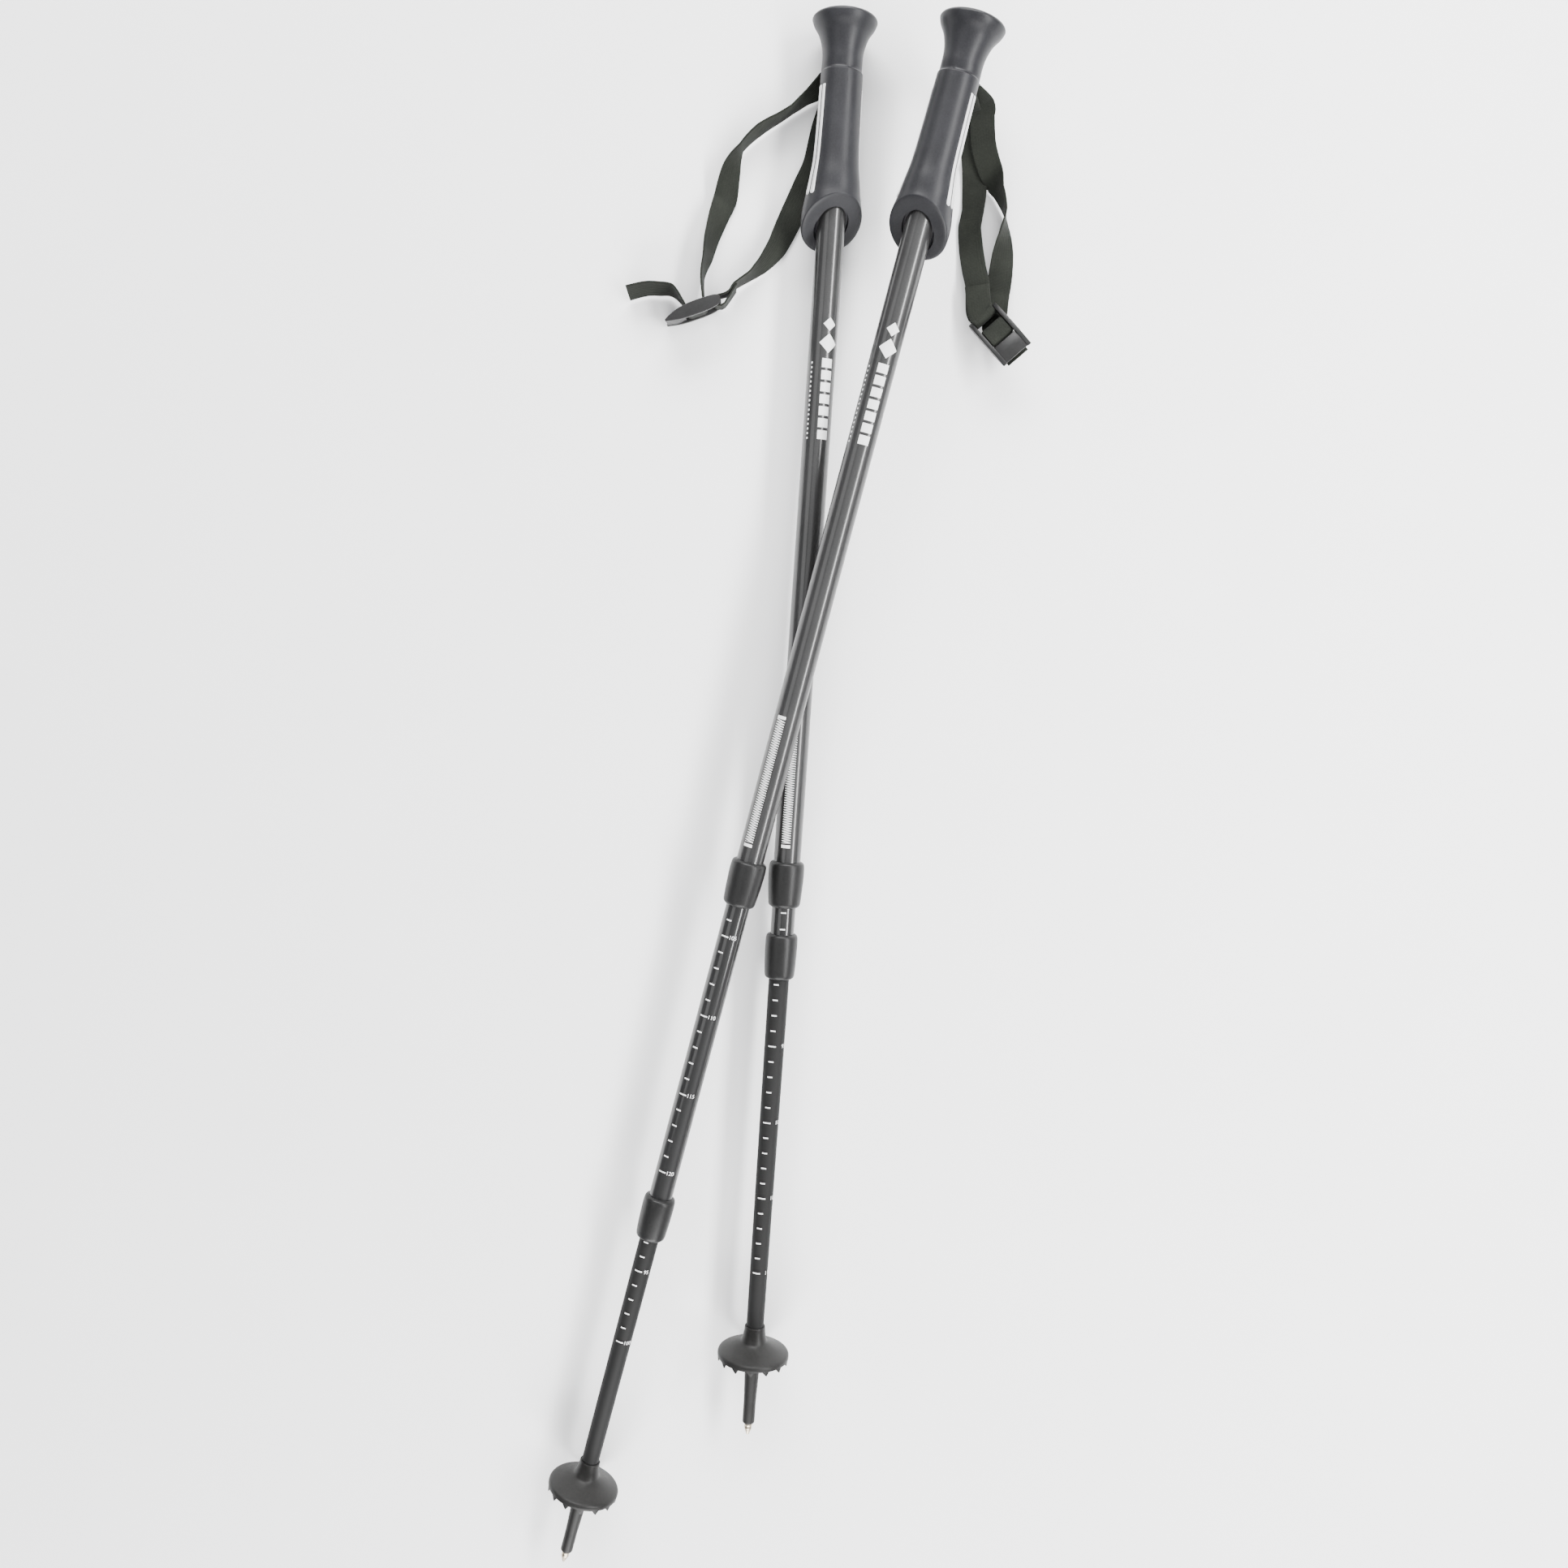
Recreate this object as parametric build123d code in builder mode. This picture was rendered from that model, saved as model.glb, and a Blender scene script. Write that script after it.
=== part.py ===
"""Pair of three-section trekking poles, lying crossed on a flat floor, one on top of the other.

Each pole is a separate set of pieces on its own long axis. A pole's stations are distances in mm
from the top of its grip towards its steel tip. Row frame: +X right, +Y towards the grips, +Z up.
"""
import os
from math import cos, radians, sin

from build123d import *

os.makedirs("parts", exist_ok=True)

# ---------------------------------------------------------------- driving dimensions (mm)
SHIFT = Vector(-0.03, 34.35, -0.1)       # brings the middle of the pair's footprint over the origin

UPPER_R, MIDDLE_R, LOWER_R = 8.5, 7.5, 6.5      # tube outside radii
WALL = 0.7                                      # tube wall
LOWER_END_R = 5.6                               # lower tube narrows to this at the basket
TAPER_LENGTH = 230.0
GLIDE = 0.08                                    # collar lip clearance on the tube it guides
GRIP_SEAT = 40.0                                # upper tube starts here, inside the grip
UPPER_END = 536.0                               # lower face of the upper collar
COLLAR_LENGTH = 29.0
COLLAR_LIP = 4.0
MIDDLE_INSIDE = 430.0                           # middle tube above the upper collar when closed
LOWER_INSIDE = 335.0                            # lower tube above the lower collar when closed
FOOT_LENGTH = 74.8                              # top of the basket hub to the tip

GRIP_NECK = [(1.2, 19.5), (4.2, 18.3), (9.5, 15.0), (16.5, 12.75), (23.6, 12.1), (35.0, 12.45),
             (60.0, 12.85), (82.0, 13.65), (98.0, 15.9), (111.0, 18.1), (118.0, 18.5), (124.0, 17.9),
             (129.0, 16.3), (133.0, 13.8), (136.0, 10.8)]
GRIP_CAP = [(-3.2, 0.0), (-2.8, 9.0), (-1.4, 16.0), (1.2, 19.5)]
END_CUT_FRONT, END_CUT_SLOPE = 104.0, 0.9       # oblique lower face of the grip
PAD_START, PAD_END, PAD_RISE = 31.0, 101.0, 1.0
RIB_ANGLES, RIB_ARC = (72.0, 89.5), 14.5        # white side ribs, degrees round from the front
RIB_START, RIB_END = 39.0, 104.0
RECESS_R, RECESS_DEPTH = 10.3, 2.2              # shallow recess round the tube in the lower face
RIB_DEPTH, RIB_RISE = 1.2, 0.75

PIN_AT, PIN_R, PIN_LENGTH = 22.0, 2.0, 21.0     # strap pin across the grip
STRAP_LEAN = 35.0                               # strap leaves the pin this far towards the tip
STRAP_WIDTH, STRAP_THICK = 15.0, 1.2
SWING = 20.0                                    # free swing of the strap in its pocket, degrees

EXPANDER_LENGTH = 22.0
SPRING_R, SPRING_WIRE, SPRING_TURNS = 5.2, 0.7, 9
SPRING_LENGTH = 34.0

BASKET_R, BASKET_TEETH = 23.3, 14
LAND_R, LAND_LENGTH = 4.0, 14.0                 # straight land that takes a push-on rubber cover


def grip_radius(t):
    """Radius of the grip's body at a station, straight between the outline's stations."""
    for (t0, r0), (t1, r1) in zip(GRIP_NECK, GRIP_NECK[1:]):
        if t0 <= t <= t1:
            return r0 + (r1 - r0) * (t - t0) / (t1 - t0)
    return GRIP_NECK[-1][1]


class Pole:
    """Where one pole lies, how it is rolled and how far its sections are drawn out."""

    def __init__(self, tag, top, heading, slope, roll, middle_out, lower_out):
        self.tag = tag
        self.top = Vector(*top) + SHIFT
        self.d = Vector(sin(heading), -cos(heading), slope).normalized()
        side = Vector(0, 0, 1).cross(self.d).normalized()
        up = self.d.cross(side)
        self.front = up * cos(radians(roll)) + side * sin(radians(roll))
        self.right = side * cos(radians(roll)) - up * sin(radians(roll))
        self.axis = Axis(self.top, self.d)
        self.side = Plane(self.top, x_dir=self.d, z_dir=self.right * -1)
        self.lower_collar = UPPER_END + middle_out
        self.middle_top = UPPER_END + middle_out - MIDDLE_INSIDE
        self.middle_end = self.lower_collar + COLLAR_LENGTH
        self.lower_top = self.middle_end + lower_out - LOWER_INSIDE
        self.hub = self.middle_end + lower_out
        self.tip = self.hub + FOOT_LENGTH

    def at(self, t):
        """Plane across the pole: x right, y front, z towards the tip."""
        return Plane(self.top + self.d * t, x_dir=self.right, z_dir=self.d)

    def radial(self, angle):
        """Plane through the axis whose y points the given angle round from the front."""
        out = self.front * cos(radians(angle)) + self.right * sin(radians(angle))
        return Plane(self.top, x_dir=self.d, z_dir=self.d.cross(out))

    def point(self, t, right=0.0, front=0.0):
        return self.top + self.d * t + self.right * right + self.front * front


def keep(builder, name):
    builder.part.label = name
    export_step(builder.part, f"parts/{name}.step")


def rod(pole, t0, t1, r, mode=Mode.ADD):
    with BuildSketch(pole.at(t0)) as disc:
        Circle(r)
    extrude(disc.sketch, amount=t1 - t0, mode=mode)


def lathe(pole, points, mode=Mode.ADD):
    with BuildSketch(pole.side) as section:
        with BuildLine():
            Polyline(*points, close=True)
        make_face()
    revolve(section.sketch, axis=pole.axis, mode=mode)


def barrel(pole, outer, inner):
    """Turned shape with a smooth outline and a stepped bore."""
    with BuildSketch(pole.side) as section:
        with BuildLine():
            Spline(*outer)
            Polyline(outer[-1], *inner, outer[0])
        make_face()
    revolve(section.sketch, axis=pole.axis)


def pocket_outline(lean, reach, half):
    """Corners of a straight channel leaving the strap pin at an angle, in (station, front)."""
    along = (sin(radians(lean)), -cos(radians(lean)))
    across = (along[1], -along[0])
    return [(PIN_AT + along[0] * u + across[0] * v, along[1] * u + across[1] * v)
            for u, v in ((0, -half), (reach, -half), (reach, half), (0, half))]


# ---------------------------------------------------------------- grip
def below_cut(pole, depth):
    """Everything beyond the oblique lower face, moved `depth` up the pole, as a flat outline."""
    far = 30.0
    with BuildSketch(pole.side) as wedge:
        with BuildLine():
            Polyline((END_CUT_FRONT + (17 - far) * END_CUT_SLOPE - depth, far),
                     (END_CUT_FRONT + (17 + far) * END_CUT_SLOPE - depth, -far),
                     (190, -far), (190, far), close=True)
        make_face()
    return wedge.sketch


def make_grip(pole):
    with BuildPart() as ring:
        rod(pole, 90, 150, RECESS_R)
        extrude(below_cut(pole, RECESS_DEPTH), amount=30, both=True, mode=Mode.INTERSECT)
    recess = ring.part
    with BuildPart() as grip:
        with BuildSketch(pole.side) as body:
            with BuildLine():
                Spline(*GRIP_CAP, tangents=[(0, 1), (1, 0)])
                Spline(*GRIP_NECK, tangents=[(1, 0), (0.6, -0.8)])
                Polyline(GRIP_NECK[-1], (GRIP_NECK[-1][0], 0), GRIP_CAP[0])
            make_face()
        revolve(body.sketch, axis=pole.axis)
        extrude(below_cut(pole, 0.0), amount=30, both=True, mode=Mode.SUBTRACT)
        # raised front pad: the body's own outline set forward, so it dies away at the sides
        offset = pole.front * PAD_RISE
        with BuildSketch(Plane(pole.top + offset, x_dir=pole.d, z_dir=pole.right * -1)) as pad:
            with BuildLine():
                stations = [PAD_START, 35, 47, 60, 71, 82, 92, PAD_END]
                Spline(*[(t, grip_radius(t)) for t in stations])
                Polyline((PAD_END, grip_radius(PAD_END)), (PAD_END, 0), (PAD_START, 0),
                         (PAD_START, grip_radius(PAD_START)))
            make_face()
        revolve(pad.sketch, axis=Axis(pole.top + offset, pole.d))
        # bore for the tube, recess round it at the lower face
        rod(pole, GRIP_SEAT - 2, 150, UPPER_R, Mode.SUBTRACT)
        add(recess, mode=Mode.SUBTRACT)
        # cross hole for the pin and the fan-shaped pocket the strap swings in
        pin_plane = Plane(pole.point(PIN_AT), x_dir=pole.d, z_dir=pole.right)
        with BuildSketch(pin_plane) as hole:
            Circle(PIN_R)
        extrude(hole.sketch, amount=PIN_LENGTH / 2, both=True, mode=Mode.SUBTRACT)
        with BuildSketch(pole.side) as fan:
            with Locations((PIN_AT, 0)):
                Circle(4.4)
            for lean in (STRAP_LEAN + 8, STRAP_LEAN - SWING / 2, STRAP_LEAN - SWING - 3):
                with BuildLine():
                    Polyline(*pocket_outline(lean, 26, 4.2), close=True)
                make_face()
        extrude(fan.sketch, amount=STRAP_WIDTH / 2 + 0.8, both=True, mode=Mode.SUBTRACT)
        for rib in rib_solids(pole):
            add(rib, mode=Mode.SUBTRACT)
    keep(grip, f"grip_{pole.tag}")


def rib_solids(pole):
    """Two narrow ribs along each side of the grip, following its outline."""
    ribs = []
    stations = [RIB_START, 47, 60, 71, 82, 90, 98, RIB_END]
    for sign in (1, -1):
        for angle in RIB_ANGLES:
            with BuildSketch(pole.radial(sign * angle - RIB_ARC / 2)) as section:
                with BuildLine():
                    Spline(*[(t, grip_radius(t) + RIB_RISE) for t in stations])
                    Line((RIB_END, grip_radius(RIB_END) + RIB_RISE),
                         (RIB_END, grip_radius(RIB_END) - RIB_DEPTH))
                    Spline(*[(t, grip_radius(t) - RIB_DEPTH) for t in reversed(stations)])
                    Line((RIB_START, grip_radius(RIB_START) - RIB_DEPTH),
                         (RIB_START, grip_radius(RIB_START) + RIB_RISE))
                make_face()
            ribs.append(revolve(section.sketch, axis=pole.axis, revolution_arc=RIB_ARC, mode=Mode.PRIVATE))
    return ribs


def make_ribs(pole):
    with BuildPart() as ribs:
        for rib in rib_solids(pole):
            add(rib)
    keep(ribs, f"grip_ribs_{pole.tag}")


def make_pin(pole):
    with BuildPart() as pin:
        with BuildSketch(Plane(pole.point(PIN_AT), x_dir=pole.d, z_dir=pole.right)):
            Circle(PIN_R)
        extrude(amount=PIN_LENGTH / 2, both=True)
    keep(pin, f"strap_pin_{pole.tag}")


# ---------------------------------------------------------------- wrist strap and its buckle
# buckle frame: x along the buckle from the sewn end to the lip, y to the strap's side, z across
BUCKLE_HALF, RAIL_IN = 10.5, 7.9
BUCKLE_BACK = [(0.9, -2.2), (4.5, -3.7), (11, -4.5), (20, -4.6), (28, -4.2), (37, -2.6)]
BUCKLE_FACE = [(37, -1.4), (32, 0.9), (26, 2.6), (19, 3.4), (11, 3.4), (4.5, 3.0), (0.9, 1.8)]
LIP_BACK = [(24.2, -3.4), (30.0, -3.5), (36.6, -2.3)]
LIP_FACE = [(36.6, -1.3), (30.0, -0.8), (24.2, -0.6)]
BUCKLE_BARS = [(0.9, 4.3), (11.5, 21.5)]        # the sewn end's bar and the wide bar of the adjuster
BAR_LOW, BAR_HIGH = -1.8, 0.6


def make_buckle(pole, plane):
    with BuildPart() as buckle:
        for side in (1, -1):
            rail = Plane(plane.origin + plane.z_dir * (side * RAIL_IN), x_dir=plane.x_dir, z_dir=plane.z_dir)
            with BuildSketch(rail) as outline:
                with BuildLine():
                    Spline(*BUCKLE_BACK)
                    Line(BUCKLE_BACK[-1], BUCKLE_FACE[0])
                    Spline(*BUCKLE_FACE)
                    Line(BUCKLE_FACE[-1], BUCKLE_BACK[0])
                make_face()
            extrude(outline.sketch, amount=side * (BUCKLE_HALF - RAIL_IN))
        with BuildSketch(plane) as lip:
            with BuildLine():
                Spline(*LIP_BACK)
                Line(LIP_BACK[-1], LIP_FACE[0])
                Spline(*LIP_FACE)
                Line(LIP_FACE[-1], LIP_BACK[0])
            make_face()
        extrude(lip.sketch, amount=RAIL_IN + 0.5, both=True)
        # bars are thinner than the side rails so the webbing sits between them
        for lo, hi in BUCKLE_BARS:
            with BuildSketch(plane) as bar:
                with Locations(((lo + hi) / 2, (BAR_LOW + BAR_HIGH) / 2)):
                    Rectangle(hi - lo, BAR_HIGH - BAR_LOW)
            extrude(bar.sketch, amount=RAIL_IN + 0.5, both=True)
    keep(buckle, f"strap_buckle_{pole.tag}")


def arc_stations(centre, along, out, radius, start, stop, steps):
    """Stations on an arc in the plane of two unit vectors; angles from the first towards the second."""
    stations = []
    for i in range(steps + 1):
        a = radians(start + (stop - start) * i / steps)
        stations.append(centre + along * (radius * cos(a)) + out * (radius * sin(a)))
    return stations


def drape(points, step):
    """Smooth path through laid points (position, width direction), sampled about every step mm."""
    fine = []
    for i in range(len(points) - 1):
        p0 = points[max(i - 1, 0)]
        p1, p2 = points[i], points[i + 1]
        p3 = points[min(i + 2, len(points) - 1)]
        n = max(1, round((p2[0] - p1[0]).length / step))
        for k in range(n):
            u = k / n
            place = (p1[0] * 2 + (p2[0] - p0[0]) * u
                     + (p0[0] * 2 - p1[0] * 5 + p2[0] * 4 - p3[0]) * u ** 2
                     + (p1[0] * 3 - p0[0] - p2[0] * 3 + p3[0]) * u ** 3) * 0.5
            fine.append((place, (p1[1] * (1 - u) + p2[1] * u).normalized()))
    fine.append(points[-1])
    return fine


def laid(points, side):
    """Positions with width directions, from (x, y, z, tilt); side picks the edge that tilts up."""
    path = []
    for i, (x, y, z, tilt) in enumerate(points):
        a, b = points[max(i - 1, 0)], points[min(i + 1, len(points) - 1)]
        run = Vector(b[0] - a[0], b[1] - a[1], 0).normalized()
        flat = Vector(run.Y, -run.X, 0) * side
        width = flat * cos(radians(tilt)) + Vector(0, 0, sin(radians(tilt)))
        path.append((Vector(x, y, z + 0.2) + SHIFT, width))
    return path


def make_strap(pole, path):
    """One closed ribbon: a rectangle carried square to the path through every station."""
    with BuildPart() as strap:
        for i, (place, width) in enumerate(path):
            before, after = path[max(i - 1, 0)][0], path[min(i + 1, len(path) - 1)][0]
            tangent = (after - before).normalized()
            across = (width - tangent * width.dot(tangent)).normalized()
            with BuildSketch(Plane(place, x_dir=across, z_dir=tangent)):
                Rectangle(STRAP_WIDTH, STRAP_THICK)
        loft(ruled=True)
    keep(strap, f"wrist_strap_{pole.tag}")


def strap_path(pole, across, outer, inner, tail, buckle, turned=1):
    """Whole ribbon: tail end, round the buckle's bar, outer strand, round the pin, inner strand.

    turned is -1 where the outer strand makes a half turn on its way, so it meets the buckle face down.
    """
    lean = radians(STRAP_LEAN)
    leave = pole.d * sin(lean) - pole.front * cos(lean)
    head = pole.d * -cos(lean) - pole.front * sin(lean)
    pin = pole.point(PIN_AT)
    turn_r = PIN_R + 0.3 + STRAP_THICK / 2
    wide = pole.right * across
    x, y, z = buckle.x_dir, buckle.y_dir, buckle.z_dir * (-1 if across < 0 else 1)
    spot = lambda a, b: buckle.origin + x * a + y * b
    mid_bar = (BUCKLE_BARS[1][0] + BUCKLE_BARS[1][1]) / 2
    reach = (BUCKLE_BARS[1][1] - BUCKLE_BARS[1][0]) / 2 + 0.35 + STRAP_THICK / 2
    half_turn = [(reach, 4.5), (reach, 1.5), (reach, -1.2), (reach - 0.35, -2.5), (reach - 1.7, -3.2)]
    around = [spot(mid_bar + a, b) for a, b in half_turn]
    around += [spot(mid_bar - a, b) for a, b in reversed(half_turn)]
    path = drape(laid(tail, across * turned), 8.0)
    path += [(p, z * turned) for p in around]
    path += drape(laid(outer, -across)[::-1], 8.0)
    path += [(pin + leave * l + head * turn_r, wide) for l in (15.0, 8.0, 2.0)]
    path += [(p, wide) for p in arc_stations(pin, head, leave * -1, turn_r, 0, 180, 6)]
    path += [(pin + leave * l - head * turn_r, wide) for l in (2.0, 8.0, 13.0)]
    path += drape(laid(inner, -across), 8.0)
    bar = (BUCKLE_BARS[0][0] + BUCKLE_BARS[0][1]) / 2
    loop_r = 2.9
    level = (BAR_LOW + BAR_HIGH) / 2
    path += [(spot(bar - 7, level + loop_r), z), (spot(bar - 2, level + loop_r), z)]
    path += [(p, z) for p in arc_stations(spot(bar, level), y, x, loop_r, 0, 180, 6)]
    sewn, width = laid(inner, -across)[-1]
    path += [(spot(bar - 3, level - loop_r), z), (sewn - y * (STRAP_THICK + 0.4), width)]
    return path


# ---------------------------------------------------------------- tubes and collars
def make_tubes(pole):
    t = pole.tag
    with BuildPart() as upper_shaft:
        rod(pole, GRIP_SEAT, UPPER_END - COLLAR_LIP, UPPER_R)
        rod(pole, GRIP_SEAT, UPPER_END - COLLAR_LIP, UPPER_R - WALL, Mode.SUBTRACT)
    keep(upper_shaft, f"upper_shaft_{t}")

    with BuildPart() as shaft_top_plug:
        rod(pole, GRIP_SEAT - 2, GRIP_SEAT, UPPER_R - 0.1)
        rod(pole, GRIP_SEAT, GRIP_SEAT + 10, UPPER_R - WALL)
    keep(shaft_top_plug, f"shaft_top_plug_{t}")

    with BuildPart() as middle_shaft:
        rod(pole, pole.middle_top, pole.middle_end - COLLAR_LIP, MIDDLE_R)
        rod(pole, pole.middle_top, pole.middle_end - COLLAR_LIP, MIDDLE_R - WALL, Mode.SUBTRACT)
    keep(middle_shaft, f"middle_shaft_{t}")

    with BuildPart() as lower_shaft:
        a, b, c = pole.lower_top, pole.hub - TAPER_LENGTH, pole.hub + 5
        lathe(pole, [(a, LOWER_R), (b, LOWER_R), (pole.hub, LOWER_END_R), (c, LOWER_END_R),
                     (c, LOWER_END_R - WALL), (pole.hub, LOWER_END_R - WALL),
                     (b, LOWER_R - WALL), (a, LOWER_R - WALL)])
    keep(lower_shaft, f"lower_shaft_{t}")

    for name, end, tube, slider, big, small in (
            ("upper_collar", UPPER_END, UPPER_R, MIDDLE_R, 11.2, 10.3),
            ("lower_collar", pole.middle_end, MIDDLE_R, LOWER_R, 10.2, 9.6)):
        s = end - COLLAR_LENGTH
        with BuildPart() as collar:
            barrel(pole,
                   [(s, tube + 0.7), (s + 1.0, big - 0.75), (s + 4.0, big - 0.1), (s + 9.0, big),
                    (s + 18.0, (big + small) / 2 + 0.05), (end - 3.5, small), (end - 0.9, small - 0.7),
                    (end, slider + 1.1)],
                   [(end, slider + GLIDE), (end - COLLAR_LIP + 0.3, slider + GLIDE),
                    (end - COLLAR_LIP + 0.3, tube), (s, tube)])
        keep(collar, f"{name}_{t}")


# ---------------------------------------------------------------- twist locks and spring unit
def make_lock(pole, name, base, bore, stud):
    """Slotted expander on the base at station `base` and the cone that spreads it."""
    top = base - EXPANDER_LENGTH
    pocket = bore - 1.75
    small = pocket - 2.4
    with BuildPart() as expander:
        lathe(pole, [(base, stud + 0.05), (base, bore - 0.6), (base - 0.6, bore), (top + 0.6, bore),
                     (top, bore - 0.4), (top, pocket + 0.1), (top + 10.4, small + 0.1),
                     (top + 10.4, stud + 0.05)])
        for turn in (0, 90):
            with BuildSketch(pole.at(top).rotated((0, 0, turn))) as slit:
                Rectangle(2 * bore + 2, 1.6)
            extrude(slit.sketch, amount=15.0, mode=Mode.SUBTRACT)
    keep(expander, f"{name}_expander_{pole.tag}")
    with BuildPart() as cone:
        lathe(pole, [(top - 4.5, stud + 0.05), (top - 4.5, pocket - 0.1), (top - 0.4, pocket),
                     (top, pocket), (top + 10.0, small), (top + 10.0, stud + 0.05)])
    keep(cone, f"{name}_cone_{pole.tag}")


def make_upper_lock(pole):
    m, t = pole.middle_top, pole.tag
    base, bore = m - 17.0, UPPER_R - WALL - 0.07
    hex_r = 3.5
    make_lock(pole, "upper", base - 0.3, bore, 3.0)
    with BuildPart() as upper_lock_screw:
        rod(pole, m - 54, base, 3.0)
        rod(pole, m - 56, m - 54, 4.0)
        rod(pole, base, m - 14, 6.4)
        with BuildSketch(pole.at(m - 14)) as shank:
            RegularPolygon(radius=hex_r, side_count=6)
        extrude(shank.sketch, amount=26.3)
        rod(pole, m + 12.3, m + 18.3, 2.2)
    keep(upper_lock_screw, f"upper_lock_screw_{t}")
    with BuildPart() as shock_guide:
        rod(pole, m - 2.5, m, 7.3)
        rod(pole, m, m + 12, MIDDLE_R - WALL)
        with BuildSketch(pole.at(m - 3)) as way:
            RegularPolygon(radius=hex_r + 0.1, side_count=6)
        extrude(way.sketch, amount=20, mode=Mode.SUBTRACT)
    keep(shock_guide, f"shock_guide_{t}")
    with BuildPart() as shock_piston:
        rod(pole, m + 12.3, m + 18.3, 6.4)
        rod(pole, m + 12.3, m + 18.3, 2.2, Mode.SUBTRACT)
    keep(shock_piston, f"shock_piston_{t}")
    start = m + 18.3 + SPRING_WIRE + 0.1
    coil = pole.at(start).location * Helix(SPRING_LENGTH / SPRING_TURNS, SPRING_LENGTH, SPRING_R)
    with BuildPart() as shock_spring:
        with BuildSketch(Plane(coil @ 0, z_dir=coil % 0)) as wire:
            Circle(SPRING_WIRE)
        sweep(wire.sketch, path=coil, is_frenet=True)
    keep(shock_spring, f"shock_spring_{t}")
    seat = start + SPRING_LENGTH + SPRING_WIRE + 0.1
    with BuildPart() as shock_end_plug:
        rod(pole, seat, seat + 8, MIDDLE_R - WALL)
    keep(shock_end_plug, f"shock_end_plug_{t}")


def make_lower_lock(pole):
    m, t = pole.lower_top, pole.tag
    make_lock(pole, "lower", m - 2.8, MIDDLE_R - WALL - 0.07, 2.5)
    with BuildPart() as lower_lock_screw:
        rod(pole, m - 38, m + 12, 2.5)
        rod(pole, m - 40, m - 38, 3.4)
    keep(lower_lock_screw, f"lower_lock_screw_{t}")
    with BuildPart() as lower_plug:
        rod(pole, m - 2.5, m, 6.4)
        rod(pole, m, m + 12, LOWER_R - WALL)
        rod(pole, m - 2.5, m + 12, 2.5, Mode.SUBTRACT)
    keep(lower_plug, f"lower_plug_{t}")


# ---------------------------------------------------------------- basket, ferrule and tip
def make_foot(pole):
    h, end, t = pole.hub, pole.tip, pole.tag
    with BuildPart() as basket:
        barrel(pole,
               [(h, 6.4), (h + 4.0, 7.0), (h + 8.5, 7.9), (h + 11.0, 9.6), (h + 14.0, 15.5),
                (h + 16.6, 21.6), (h + 17.4, 22.8)],
               [(h + 18.4, BASKET_R), (h + 20.6, BASKET_R), (h + 20.6, BASKET_R - 1.5),
                (h + 18.6, 21.3), (h + 16.0, 15.5), (h + 13.2, 10.0), (h + 12.9, 5.75), (h, 5.75)])
        for i in range(BASKET_TEETH):
            with BuildSketch(pole.radial(360.0 * i / BASKET_TEETH)) as tooth:
                with BuildLine():
                    Polyline((h + 19.8, BASKET_R - 1.3), (h + 19.8, BASKET_R - 0.2),
                             (h + 22.6, BASKET_R - 0.2), (h + 23.4, BASKET_R - 0.6),
                             (h + 22.8, BASKET_R - 1.3), close=True)
                make_face()
            revolve(tooth.sketch, axis=pole.axis, revolution_arc=9.0)
    keep(basket, f"basket_{t}")

    land = end - 9.0 - LAND_LENGTH
    with BuildPart() as ferrule:
        lathe(pole, [(h - 20, 0), (h - 20, 4.0), (h - 18, 4.9), (h + 5.0, 4.9), (h + 5.0, 5.68),
                     (h + 13.2, 5.68), (h + 13.2, 6.8), (h + 15.0, 6.8), (h + 16.0, 5.2),
                     (h + 24, 5.0), (land, LAND_R), (end - 9.0, LAND_R), (end - 8.0, 3.0),
                     (end - 8.0, 1.8), (end - 18, 1.8), (end - 18, 0)])
    keep(ferrule, f"ferrule_{t}")
    with BuildPart() as carbide_tip:
        lathe(pole, [(end - 18, 0), (end - 18, 1.8), (end - 8.0, 1.8), (end - 8.0, 2.6),
                     (end - 4.6, 2.5), (end - 0.5, 0.9), (end, 0.4), (end, 0)])
    keep(carbide_tip, f"carbide_tip_{t}")


# ---------------------------------------------------------------- lay-out of the pair
under = Pole("a", (36.45, 452.0, 19.6), -0.0681, 0.0047, 22.0, 17.2, 231.0)
over = Pole("b", (109.0, 438.5, 49.2), -0.2595, -0.0273, -22.0, 196.7, 159.8)

# wrist straps: (x, y, z, tilt of the webbing from flat), from the grip to the buckle
STRAP_A_OUTER = [(24, 420, 5.6, 45), (14, 412, 8.2, 76), (5, 405, 8.4, 88), (-3, 400, 8.4, 86),
                 (-15, 393, 8.4, 80), (-26, 382.5, 8.5, 86), (-32, 371, 6.4, 48), (-36, 354, 3.2, 16),
                 (-39, 346, 5.0, 35), (-44, 331, 7.0, 56), (-47, 318, 8.0, 71), (-50, 307, 9.0, 86)]
STRAP_A_INNER = [(28.5, 408, 2.4, 6), (24, 395, 1.8, 2), (19, 375, 1.2, 0), (14, 364, 1.6, 5),
                 (7, 349, 1.8, 6), (1, 336, 3.6, 22), (-5, 324, 5.6, 40), (-12, 315, 7.4, 62),
                 (-21, 307, 8.4, 82), (-30, 301, 9.6, 88)]
STRAP_A_TAIL = [(-96, 297, 7.8, 66), (-85, 299.5, 7.9, 68), (-77, 299.5, 8.1, 69), (-68, 298, 8.8, 73)]
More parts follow.
